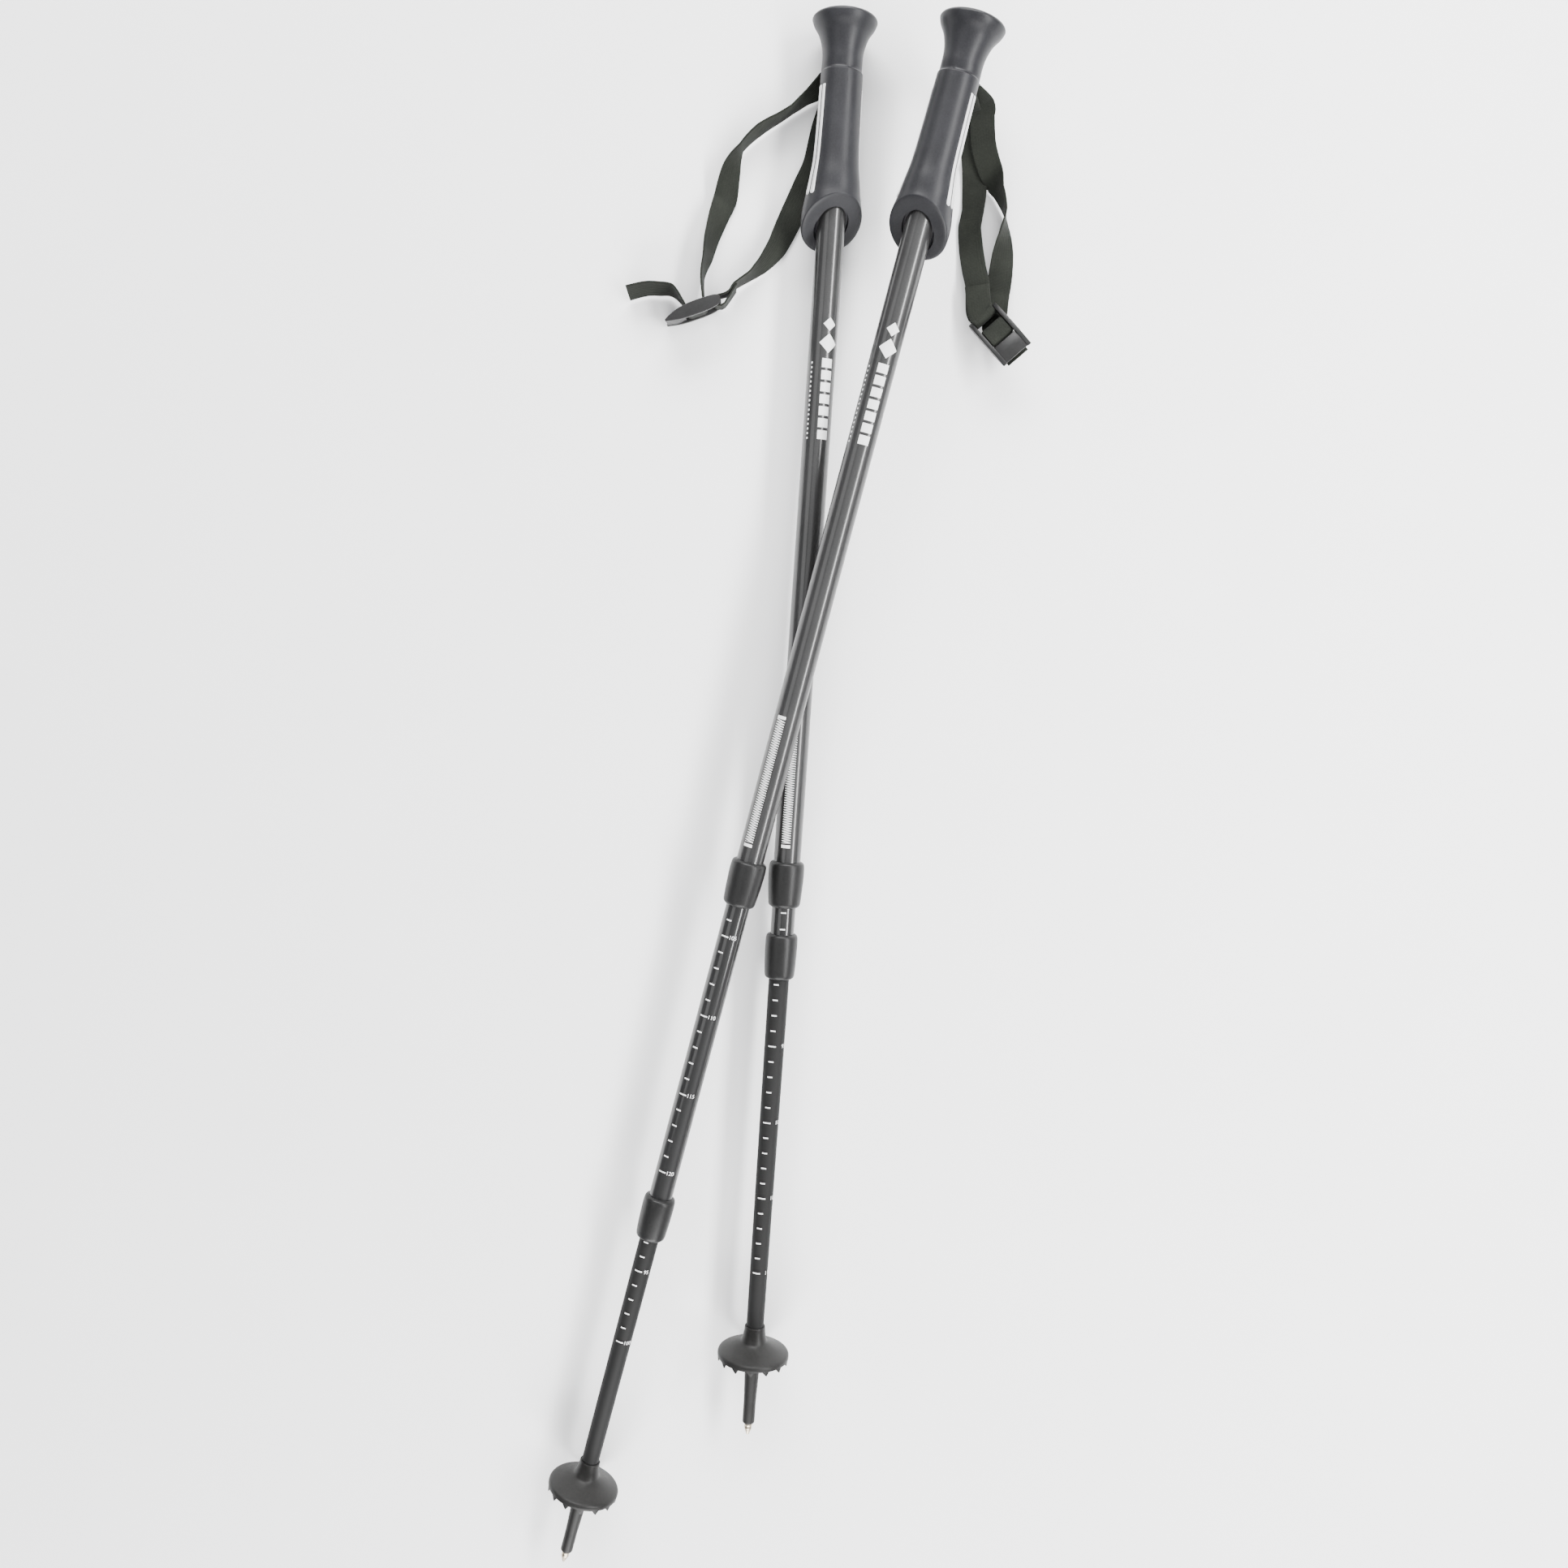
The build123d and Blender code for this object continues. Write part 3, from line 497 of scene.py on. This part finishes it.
def make_grip(pole):
    """Grip body: turned shape, front pad, oblique lower face with its recess, and the strap's pocket."""
    t = pole.tag
    around = 120
    stations = [1.2 + 0.8 * i for i in range(36)] + [30.2 + 0.2 * i for i in range(9)]
    stations += [32.5 + 2.0 * i for i in range(33)] + [97.5 + 0.5 * i for i in range(12)]
    stations += [104.0 + 0.8 * i for i in range(41)]
    cap = spline(CAP, 4)
    columns = []
    for j in range(around):
        a = 2 * pi * j / around
        c = cos(a)
        column = [(p.x, p.y) for p in cap[:-1]]
        # station where this column meets the oblique face, by halving
        last, hi = SQUEEZE_FROM, NECK[-1][0]
        for _ in range(30):
            mid = (last + hi) / 2
            last, hi = (mid, hi) if mid < cut_station(body_radius(mid), c) else (last, mid)
        for s in stations:
            past = max(s - SQUEEZE_FROM, 0.0)
            place = s
            if past:
                place = SQUEEZE_FROM + past * (last - SQUEEZE_FROM) / (stations[-1] - SQUEEZE_FROM)
            column.append((place, body_radius(place) + pad_rise(c, place)))
        r_end = column[-1][1]
        face = [(cut_station(r_end + (RECESS_R - r_end) * k / 8, c), r_end + (RECESS_R - r_end) * k / 8)
                for k in range(1, 9)]
        # broken edge between the side and the oblique face
        turn = [Vector(column[-4]), Vector(column[-1]), Vector(face[2])]
        arc = [turn[0] * (1 - u) ** 2 + turn[1] * 2 * u * (1 - u) + turn[2] * u * u
               for u in (k / 6 for k in range(1, 6))]
        column = column[:-3] + [(p.x, p.y) for p in arc] + face[2:]
        column += [(cut_station(r, c) - down, r) for r, down in
                   ((RECESS_R - 0.12, 0.4), (RECESS_R - 0.15, RECESS_DEPTH - 0.5),
                    (RECESS_R - 0.6, RECESS_DEPTH), (BORE_R, RECESS_DEPTH))]
        column += [(BORE_END, BORE_R), (BORE_END, 0.02)]
        columns.append(column)
    rows = len(columns[0])
    angles = [2 * pi * j / around for j in range(around)]
    rings = [[Vector((column[i][1] * sin(a), column[i][1] * cos(a), column[i][0]))
              for column, a in zip(columns, angles)] for i in range(rows)]
    uvs = [[(j * 0.75, columns[0][i][0] + (0 if i < rows - 4 else i)) for j in range(around + 1)]
           for i in range(rows)]
    obj = grid(f"grip_body_{t}", rings, uvs, pole.matrix, caps=(0, rows - 1))
    # pocket in the back, a little wider than the strap's swing
    cutters = []
    for lean in (LEAN + 8, LEAN + 1, LEAN - 6, LEAN - SWING / 2, LEAN - SWING - 3):
        a = radians(lean)
        along, across = Vector((sin(a), -cos(a))), Vector((-cos(a), -sin(a)))
        corners = [(-POCKET_HALF, -POCKET_HALF), (POCKET_REACH, -POCKET_HALF),
                   (POCKET_REACH, POCKET_HALF), (-POCKET_HALF, POCKET_HALF)]
        cutters.append([Vector((PIN_AT, 0)) + along * u + across * v for u, v in corners])
    cutter = plate("pocket_cutter", fan_outline(cutters), -POCKET_HALF_WIDTH, POCKET_HALF_WIDTH)
    # plate axes: x = station, y = right, z = front
    m = Matrix((pole.d, pole.right, pole.front)).transposed().to_4x4()
    m.translation = pole.top
    cutter.data.transform(Matrix.Scale(0.001, 4) @ m)
    cut = obj.modifiers.new("pocket", "BOOLEAN")
    cut.operation, cut.solver, cut.object = "DIFFERENCE", "EXACT", cutter
    apply_all(obj)
    bpy.data.objects.remove(cutter)
    finish_piece(obj, "grip_rubber", f"pole_{t}", 38)
    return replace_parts(obj, f"grip_{t}")


def fan_outline(boxes):
    """Convex outline round several rectangles, as (x, z) corners in order."""
    pts = sorted({(round(p.x, 4), round(p.y, 4)) for box in boxes for p in box})

    def half(points):
        out = []
        for p in points:
            while len(out) > 1 and ((out[-1][0] - out[-2][0]) * (p[1] - out[-2][1])
                                    - (out[-1][1] - out[-2][1]) * (p[0] - out[-2][0])) <= 0:
                out.pop()
            out.append(p)
        return out[:-1]
    return half(pts) + half(pts[::-1])


def make_ribs(pole):
    """Two white inlaid ribs on each side of the grip, rounded at the ends and let into the rubber."""
    t, parts = pole.tag, []
    for sign in (1, -1):
        for angle in RIB_ANGLES:
            rings, uvs = [], []
            steps = 56
            for i in range(steps + 1):
                place = RIB_SPAN[0] + (RIB_SPAN[1] - RIB_SPAN[0]) * i / steps
                ends = min((place - RIB_SPAN[0]) / RIB_ROUND, (RIB_SPAN[1] - place) / RIB_ROUND, 1.0)
                swell = sqrt(max(1 - (1 - ends) ** 2, 0.0))
                base = body_radius(place)
                half = RIB_HALF * (0.25 + 0.75 * swell)
                ring = []
                for k in range(9):
                    u = k / 8 * 2 - 1
                    w = radians(angle * sign + half * u)
                    r = base - RIB_SINK + (RIB_HEIGHT * swell + 0.02) * sqrt(max(1 - u ** 4, 0.0))
                    ring.append(Vector((r * sin(w), r * cos(w), place)))
                w0, w1 = radians(angle * sign + half), radians(angle * sign - half)
                root = base - RIB_ROOT
                ring += [Vector((root * sin(w), root * cos(w), place)) for w in (w0, w1)]
                rings.append(ring)
                uvs.append([(k * 0.2, place) for k in range(len(ring) + 1)])
            parts.append(grid(f"rib_{t}", rings, uvs, pole.matrix, caps=(0, steps)))
    obj = join(f"grip_rib_set_{t}", parts)
    finish_piece(obj, "rib_white", f"pole_{t}", 50)
    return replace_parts(obj, f"grip_ribs_{t}")


for pole in (under, over):
    make_grip(pole)
    make_ribs(pole)


# ------------------------------------------------------------------ straps, on the CAD's own stations
STRAP_WIDTH, STRAP_THICK, STRAP_RAISE = 15.0, 1.2, 0.2
PIN_R, PIN_GAP = 2.0, 0.3
BUCKLE_HALF, RAIL_IN = 10.5, 7.9
BUCKLE_BACK = [(0.9, -2.2), (4.5, -3.7), (11, -4.5), (20, -4.6), (28, -4.2), (37, -2.6)]
BUCKLE_FACE = [(37, -1.4), (32, 0.9), (26, 2.6), (19, 3.4), (11, 3.4), (4.5, 3.0), (0.9, 1.8)]
LIP_BACK = [(24.2, -3.4), (30.0, -3.5), (36.6, -2.3)]
LIP_FACE = [(36.6, -1.3), (30.0, -0.8), (24.2, -0.6)]
BARS = [(0.9, 4.3), (11.5, 21.5)]               # the sewn end's bar and the wide bar of the adjuster
BAR_LOW, BAR_HIGH, BAR_GAP = -1.8, 0.6, 0.35
SEWN_LOOP_R = 2.9
STRAP_A_OUTER = [(24, 420, 5.6, 45), (14, 412, 8.2, 76), (5, 405, 8.4, 88), (-3, 400, 8.4, 86),
                 (-15, 393, 8.4, 80), (-26, 382.5, 8.5, 86), (-32, 371, 6.4, 48), (-36, 354, 3.2, 16),
                 (-39, 346, 5.0, 35), (-44, 331, 7.0, 56), (-47, 318, 8.0, 71), (-50, 307, 9.0, 86)]
STRAP_A_INNER = [(28.5, 408, 2.4, 6), (24, 395, 1.8, 2), (19, 375, 1.2, 0), (14, 364, 1.6, 5),
                 (7, 349, 1.8, 6), (1, 336, 3.6, 22), (-5, 324, 5.6, 40), (-12, 315, 7.4, 62),
                 (-21, 307, 8.4, 82), (-30, 301, 9.6, 88)]
STRAP_A_TAIL = [(-96, 297, 7.8, 66), (-85, 299.5, 7.9, 68), (-77, 299.5, 8.1, 69), (-68, 298, 8.8, 73)]
# the outer strand of b turns right over between its grip and its buckle
STRAP_B_OUTER = [(118, 402, 24, 14), (121, 384, 10.5, 12), (126, 370, 6.4, 22), (131, 357, 8.2, 72),
                 (135, 345, 8.8, 92), (135, 332, 7.8, 124), (134.5, 321, 4.8, 156), (133.5, 308, 2.6, 178),
                 (131.5, 295, 3.6, 190)]
STRAP_B_INNER = [(111, 398, 19, 13), (115.5, 381, 5, 9), (117, 364, 1.4, 3), (116, 348, 4.4, 32),
                 (114, 336, 4.2, 28), (115, 325, 3.4, 18), (117, 312, 4.4, 8), (119, 301, 6.6, 6)]
STRAP_B_TAIL = [(143.5, 257, 14.5, -12), (140.5, 261, 13.0, -12)]


class Axes:
    """Buckle axes: x from the sewn end to the lip, y to the strap's side, z across."""

    def __init__(self, origin, x, z):
        self.origin = Vector(origin) + SHIFT
        self.x = Vector(x).normalized()
        self.z = (Vector(z) - self.x * Vector(z).dot(self.x)).normalized()
        self.y = self.z.cross(self.x)

    def spot(self, a, b, c=0.0):
        return self.origin + self.x * a + self.y * b + self.z * c


buckle_a = Axes((-38.0, 292.0, 12.0), (-0.946, -0.325, 0), (-0.015, 0.0437, -0.999))
buckle_b = Axes((121.5, 284.0, 8.6), (0.56, -0.74, 0.372), (0.745, 0.628, 0.128))


def laid(points, side):
    """Strap stations (x, y, z, tilt of the width from flat) as places and width directions."""
    path = []
    for i, (x, y, z, tilt) in enumerate(points):
        a, b = points[max(i - 1, 0)], points[min(i + 1, len(points) - 1)]
        run = Vector((b[0] - a[0], b[1] - a[1], 0)).normalized()
        flat = Vector((run.y, -run.x, 0)) * side
        width = flat * cos(radians(tilt)) + Vector((0, 0, sin(radians(tilt))))
        path.append((Vector((x, y, z + STRAP_RAISE)) + SHIFT, width))
    return path


def drape(points, step):
    """Smooth run through (place, width) pairs, sampled about every step mm."""
    fine = []
    for i in range(len(points) - 1):
        p0, p1 = points[max(i - 1, 0)], points[i]
        p2, p3 = points[i + 1], points[min(i + 2, len(points) - 1)]
        n = max(1, round((p2[0] - p1[0]).length / step))
        for k in range(n):
            u = k / n
            place = (p1[0] * 2 + (p2[0] - p0[0]) * u + (p0[0] * 2 - p1[0] * 5 + p2[0] * 4 - p3[0]) * u ** 2
                     + (p1[0] * 3 - p0[0] - p2[0] * 3 + p3[0]) * u ** 3) * 0.5
            fine.append((place, (p1[1] * (1 - u) + p2[1] * u).normalized()))
    fine.append(points[-1])
    return fine


def turn(centre, first, second, radius, steps):
    """Half circle from first, by way of second, to the far side."""
    return [centre + first * (radius * cos(pi * i / steps)) + second * (radius * sin(pi * i / steps))
            for i in range(steps + 1)]


def strap_path(pole, across, outer, inner, tail, buckle, turned=1):
    """Whole ribbon: tail end, round the wide bar, outer strand, round the pin, inner strand, sewn end's bar.

    turned is -1 where the outer strand makes a half turn on its way, so it meets the buckle face down.
    """
    lean = radians(LEAN)
    leave = pole.d * sin(lean) - pole.front * cos(lean)
    head = pole.d * -cos(lean) - pole.front * sin(lean)
    pin, turn_r, wide = pole.point(PIN_AT), PIN_R + PIN_GAP + STRAP_THICK / 2, pole.right * across
    y, z, spot = buckle.y, buckle.z * (-1 if across < 0 else 1), buckle.spot
    mid_bar = sum(BARS[1]) / 2
    reach = (BARS[1][1] - BARS[1][0]) / 2 + BAR_GAP + STRAP_THICK / 2
    half_turn = [(reach, 4.5), (reach, 1.5), (reach, -1.2), (reach - 0.35, -2.5), (reach - 1.7, -3.2)]
    around = [spot(mid_bar + a, b) for a, b in half_turn] + [spot(mid_bar - a, b) for a, b in half_turn[::-1]]
    path = drape(laid(tail, across * turned), 8.0)
    path += [(p, z * turned) for p in around]
    path += drape(laid(outer, -across)[::-1], 8.0)
    path += [(pin + leave * l + head * turn_r, wide) for l in (15.0, 8.0, 2.0)]
    path += [(p, wide) for p in turn(pin, head, -leave, turn_r, 6)]
    path += [(pin + leave * l - head * turn_r, wide) for l in (2.0, 8.0, 13.0)]
    path += drape(laid(inner, -across), 8.0)
    bar, loop_r, level = sum(BARS[0]) / 2, SEWN_LOOP_R, (BAR_LOW + BAR_HIGH) / 2
    path += [(spot(bar - 7, level + loop_r), z), (spot(bar - 2, level + loop_r), z)]
    path += [(p, z) for p in turn(spot(bar, level), y, buckle.x, loop_r, 6)]
    sewn, width = laid(inner, -across)[-1]
    path += [(spot(bar - 3, level - loop_r), z), (sewn - y * (STRAP_THICK + 0.4), width)]
    return path


def make_strap(pole, path):
    """Woven ribbon with rounded selvedges along the path; returns its length in mm."""
    t = pole.tag
    fine = drape(path, 1.2)
    half, thick = STRAP_WIDTH / 2, STRAP_THICK / 2
    across = [-1, -0.985, -0.95, -0.9] + [-0.8 + 0.2 * k for k in range(9)] + [0.9, 0.95, 0.985, 1]
    rings, uvs, run, last = [], [], 0.0, None
    for i, (place, width) in enumerate(fine):
        before, after = fine[max(i - 1, 0)][0], fine[min(i + 1, len(fine) - 1)][0]
        tangent = (after - before).normalized()
        wide = (width - tangent * width.dot(tangent)).normalized()
        normal = tangent.cross(wide)
        if last is not None:
            run += (place - last).length
        last = place
        skin = []
        for u in across:
            edge = sqrt(max(1 - max((abs(u) - 0.9) / 0.1, 0.0) ** 2, 0.0))
            skin.append((u * half, thick * edge * (1.0 - 0.10 * (abs(u) < 0.85))))
        ring = [place + wide * a + normal * b for a, b in skin]
        ring += [place + wide * a - normal * b for a, b in skin[-2:0:-1]]
        rings.append(ring)
        side = [(run, a) for a, b in skin] + [(run, a) for a, b in skin[-2:0:-1]]
        uvs.append(side + [side[0]])
    obj = grid(f"strap_webbing_{t}", rings, [[(v, u) for u, v in row] for row in uvs], Matrix.Scale(0.001, 4),
               caps=(0, len(rings) - 1))
    finish_piece(obj, "webbing", f"strap_{t}", 60)
    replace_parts(obj, f"wrist_strap_{t}")
    return run


def make_buckle(pole, axes):
    """Buckle: two leaf-shaped side rails, a bar for the sewn end, a wide bar and a curved lip."""
    t = pole.tag

    def section(back, face):
        return [(p.x, p.y) for p in spline(back, 6)] + [(p.x, p.y) for p in spline(face, 6)]

    def block(points, low, high, bevel):
        obj = plate("buckle_part", points, low, high)
        mod = obj.modifiers.new("edge", "BEVEL")
        mod.width, mod.segments, mod.limit_method, mod.angle_limit = bevel, 3, "ANGLE", radians(40)
        return apply_all(obj)
    rail = section(BUCKLE_BACK, BUCKLE_FACE)
    parts = [block(rail, RAIL_IN, BUCKLE_HALF, 0.7), block(rail, -BUCKLE_HALF, -RAIL_IN, 0.7),
             block(section(LIP_BACK, LIP_FACE), -RAIL_IN - 0.5, RAIL_IN + 0.5, 0.4)]
    for lo, hi in BARS:
        bar = [(lo, BAR_LOW), (hi, BAR_LOW), (hi, BAR_HIGH), (lo, BAR_HIGH)]
        parts.append(block(bar, -RAIL_IN - 0.5, RAIL_IN + 0.5, 0.4))
    obj = join(f"buckle_body_{t}", parts)
    m = Matrix((axes.x, axes.z, axes.y)).transposed().to_4x4()
    m.translation = axes.origin
    obj.data.transform(Matrix.Scale(0.001, 4) @ m)
    outward(obj.data)
    finish_piece(obj, "buckle_plastic", f"strap_{t}", 40)
    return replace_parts(obj, f"strap_buckle_{t}")


path_a = strap_path(under, -1, STRAP_A_OUTER, STRAP_A_INNER, STRAP_A_TAIL, buckle_a)
path_b = strap_path(over, 1, STRAP_B_OUTER, STRAP_B_INNER, STRAP_B_TAIL, buckle_b, -1)
strap_length = {"a": make_strap(under, path_a), "b": make_strap(over, path_b)}
make_buckle(under, buckle_a)
make_buckle(over, buckle_b)
print("strap lengths, mm:", {k: round(v) for k, v in strap_length.items()})


# ------------------------------------------------------------------ printed marks, thin skins on the tubes
PRINT_LIFT, NUMBER_LIFT = 0.04, 0.06
LONG_TICK, SHORT_TICK, TICK_THICK = 5.0, 3.3, 0.85
NUMBER_SIZE, NUMBER_STEP = 3.6, 5
LOZENGES = ((174.0, 182.0), (183.5, 195.0))     # first and last station of each
WORD_START, BLOCKS, BLOCK_PITCH, BLOCK_WIDE, BLOCK_TALL = 201.0, 7, 7.1, 6.6, 5.4
DOTS, DOT_PITCH, DOT_SIZE, DOT_ASIDE = 17, 2.8, 1.1, 9.9
COIL_START, COIL_END, COIL_HALF, COIL_PITCH = 416.6, 495.4, 2.9, 1.5
COIL_EDGE, COIL_EDGE_TALL = 1.3, 1.9


def skin(pole, r, rows):
    """Curved patch on a tube; rows are lists of (mm round from the front, station)."""
    r += PRINT_LIFT
    rings = [[Vector((r * sin(a / r), r * cos(a / r), t)) for a, t in row] for row in rows]
    obj = grid("mark", rings, rows, pole.matrix, closed=False)
    face = obj.data.polygons[0]
    out = face.center - pole.top * 0.001
    out -= pole.d * out.dot(pole.d)
    if face.normal.dot(out) < 0:
        obj.data.flip_normals()
    return obj


def stroke(pole, r, start, end, thick):
    """Printed line from start to end, both (mm round from the front, station), thick along the tube."""
    n = max(2, ceil(abs(end[0] - start[0]) / 0.8))
    line = [(start[0] + (end[0] - start[0]) * k / n, start[1] + (end[1] - start[1]) * k / n)
            for k in range(n + 1)]
    return skin(pole, r, [[(a, t - thick / 2) for a, t in line], [(a, t + thick / 2) for a, t in line]])


def bar_mark(pole, r, centre, station, wide, tall):
    """Printed rectangle, square to the tube."""
    return stroke(pole, r, (centre - wide / 2, station), (centre + wide / 2, station), tall)


def number(pole, r, centre, station, value, size):
    """Number of the length scale, wrapped round the tube and upright with the grip at the top."""
    curve = bpy.data.curves.new("number", "FONT")
    curve.body, curve.size, curve.align_x, curve.align_y = str(value), size, "CENTER", "CENTER"
    text = bpy.data.objects.new("number", curve)
    scene.collection.objects.link(text)
    bpy.context.view_layer.update()
    mesh = bpy.data.meshes.new_from_object(text.evaluated_get(bpy.context.evaluated_depsgraph_get()))
    bpy.data.objects.remove(text)
    r += PRINT_LIFT + NUMBER_LIFT
    for v in mesh.vertices:
        a = (centre + v.co.x) / r
        v.co = (r * sin(a), r * cos(a), station - v.co.y)
    mesh.transform(pole.matrix)
    out = bpy.data.objects.new("number", mesh)
    scene.collection.objects.link(out)
    return out


def scale_marks(name, pole, r, body, first, pitch, count, long_ones, centre, number_at, top_value):
    """Length scale: short and long ticks, with a number beside each long one."""
    parts, value = [], top_value
    for i in range(count):
        station, is_long = first + pitch * i, i in long_ones
        parts.append(bar_mark(pole, r, centre, station, LONG_TICK if is_long else SHORT_TICK, TICK_THICK))
        if is_long:
            parts.append(number(pole, r, number_at, station, value, NUMBER_SIZE))
            value += NUMBER_STEP
    finish_piece(join(name, parts), "print_white", body)


def tube_print(pole, word_at, band_at):
    """Plain shapes on the upper tube: two lozenges, seven blocks, a dotted line and a coil band."""
    r, parts = UPPER_R, []
    for t0, t1 in LOZENGES:
        mid, half = (t0 + t1) / 2, (t1 - t0) / 2
        rows = [[(word_at + max(1 - abs(k) / 6, 0.02) * half * u / 6, mid + half * k / 6)
                 for u in range(-6, 7)] for k in range(-6, 7)]
        parts.append(skin(pole, r, rows))
    for i in range(BLOCKS):
        parts.append(bar_mark(pole, r, word_at, WORD_START + BLOCK_PITCH * i, BLOCK_WIDE, BLOCK_TALL))
    for i in range(DOTS):
        parts.append(bar_mark(pole, r, word_at - DOT_ASIDE, WORD_START + DOT_PITCH * i, DOT_SIZE, DOT_SIZE))
    for edge in (COIL_START - COIL_EDGE, COIL_END + COIL_EDGE):
        parts.append(bar_mark(pole, r, band_at, edge, 2 * COIL_HALF, COIL_EDGE_TALL))
    left, right = band_at - COIL_HALF, band_at + COIL_HALF
    for i in range(int((COIL_END - COIL_START) / COIL_PITCH)):
        t = COIL_START + COIL_PITCH * i
        parts.append(stroke(pole, r, (left, t), (right, t + COIL_PITCH * 0.8), 0.62))
        parts.append(stroke(pole, r, (right, t + COIL_PITCH * 0.8), (left, t + COIL_PITCH), 0.3))
    finish_piece(join(f"tube_print_{pole.tag}", parts), "print_white", f"pole_{pole.tag}")


tube_print(under, 0.2, -5.0)
tube_print(over, 4.1, -0.9)
scale_marks("scale_middle_a", under, MIDDLE_R, "middle_a", 538.9, 10.55, 2, (), -2.9, 0.0, 0)
scale_marks("scale_lower_a", under, LOWER_R, "lower_a", 585.3, 10.0, 20, (4, 9, 14, 19), -4.1, 4.2, 95)
scale_marks("scale_middle_b", over, MIDDLE_R, "middle_b", 545.4, 10.55, 17, (1, 6, 11, 16), -0.5, 4.9, 105)
scale_marks("scale_lower_b", over, LOWER_R, "lower_b", 763.0, 10.0, 8, (2, 7), 0.9, 6.3, 95)


# ------------------------------------------------------------------ hidden working parts keep their CAD shape
HIDDEN = {"strap_pin": "pin_steel", "shaft_top_plug": "lock_nylon", "upper_expander": "lock_nylon",
          "upper_cone": "cone_plastic", "upper_lock_screw": "lock_alloy", "shock_guide": "lock_nylon",
          "shock_piston": "cone_plastic", "shock_spring": "spring_steel", "shock_end_plug": "lock_nylon",
          "lower_expander": "lock_nylon", "lower_cone": "cone_plastic", "lower_lock_screw": "lock_alloy",
          "lower_plug": "lock_nylon"}
for name, mat in HIDDEN.items():
    for t in "ab":
        node = nodes[f"{name}_{t}"]
        node.data.materials.clear()
        node.data.materials.append(MAT[mat])


# ------------------------------------------------------------------ floor, light and camera
def paper():
    """Matt, nearly white floor."""
    mat, add, link, bsdf = shader("pale floor")
    where = add("TexCoord")
    noise = add("TexNoise", Scale=9.0, Detail=3.0)
    link(where.outputs["Object"], noise.inputs["Vector"])
    colour = ramp(add, [(0.3, 0.93), (0.7, 0.95)])
    link(noise.outputs["Fac"], colour.inputs[0])
    link(colour.outputs[0], bsdf.inputs["Base Color"])
    bsdf.inputs["Roughness"].default_value = 0.9
    bsdf.inputs["Specular IOR Level"].default_value = 0.1
    return mat


FLOOR_Z = -0.0004                               # just under the lowest point, in metres
bpy.ops.mesh.primitive_plane_add(size=8.0, location=(0, 0, FLOOR_Z))
floor_sheet = bpy.context.object
floor_sheet.name = "floor_sheet"
floor_sheet.data.materials.append(paper())

world = bpy.data.worlds.new("studio")
scene.world = world
world.use_nodes = True
world.node_tree.nodes["Background"].inputs[0].default_value = (0.93, 0.95, 1.0, 1)
world.node_tree.nodes["Background"].inputs[1].default_value = 0.36


def panel(name, place, size_x, size_y, power, aim=(0, 0, 0)):
    """Rectangular soft light at place, turned to face aim."""
    data = bpy.data.lights.new(name, "AREA")
    data.shape, data.size, data.size_y, data.energy = "RECTANGLE", size_x, size_y, power
    lamp = bpy.data.objects.new(name, data)
    lamp.location = place
    z = (Vector(place) - Vector(aim)).normalized()
    x = Vector((0, 1, 0)).cross(z).normalized()
    lamp.rotation_euler = Matrix((x, z.cross(x), z)).transposed().to_euler()
    scene.collection.objects.link(lamp)
    return lamp


panel("window_right", (0.95, 0.1, 1.0), 0.22, 1.8, 50.0)
panel("softbox_left", (-1.0, 0.2, 1.4), 0.9, 1.6, 10.0)
panel("top_fill", (0.15, 0.3, 2.2), 1.2, 1.6, 8.0)
panel("grip_end_fill", (0.0, 1.9, 1.0), 1.8, 0.8, 105.0, (0.0, 0.3, 0.0))
panel("tip_end_fill", (0.0, -1.9, 1.0), 1.8, 0.8, 105.0, (0.0, -0.1, 0.0))

cam = bpy.data.cameras.new("photo_view")
cam.lens, cam.sensor_width, cam.clip_start = 33.225, 36.0, 0.01
camera = bpy.data.objects.new("photo_view", cam)
camera.location = (-0.00003, 0.12435, 0.9239)
camera.rotation_euler = (-0.1049, 0.0, 0.0)
scene.collection.objects.link(camera)
scene.camera = camera
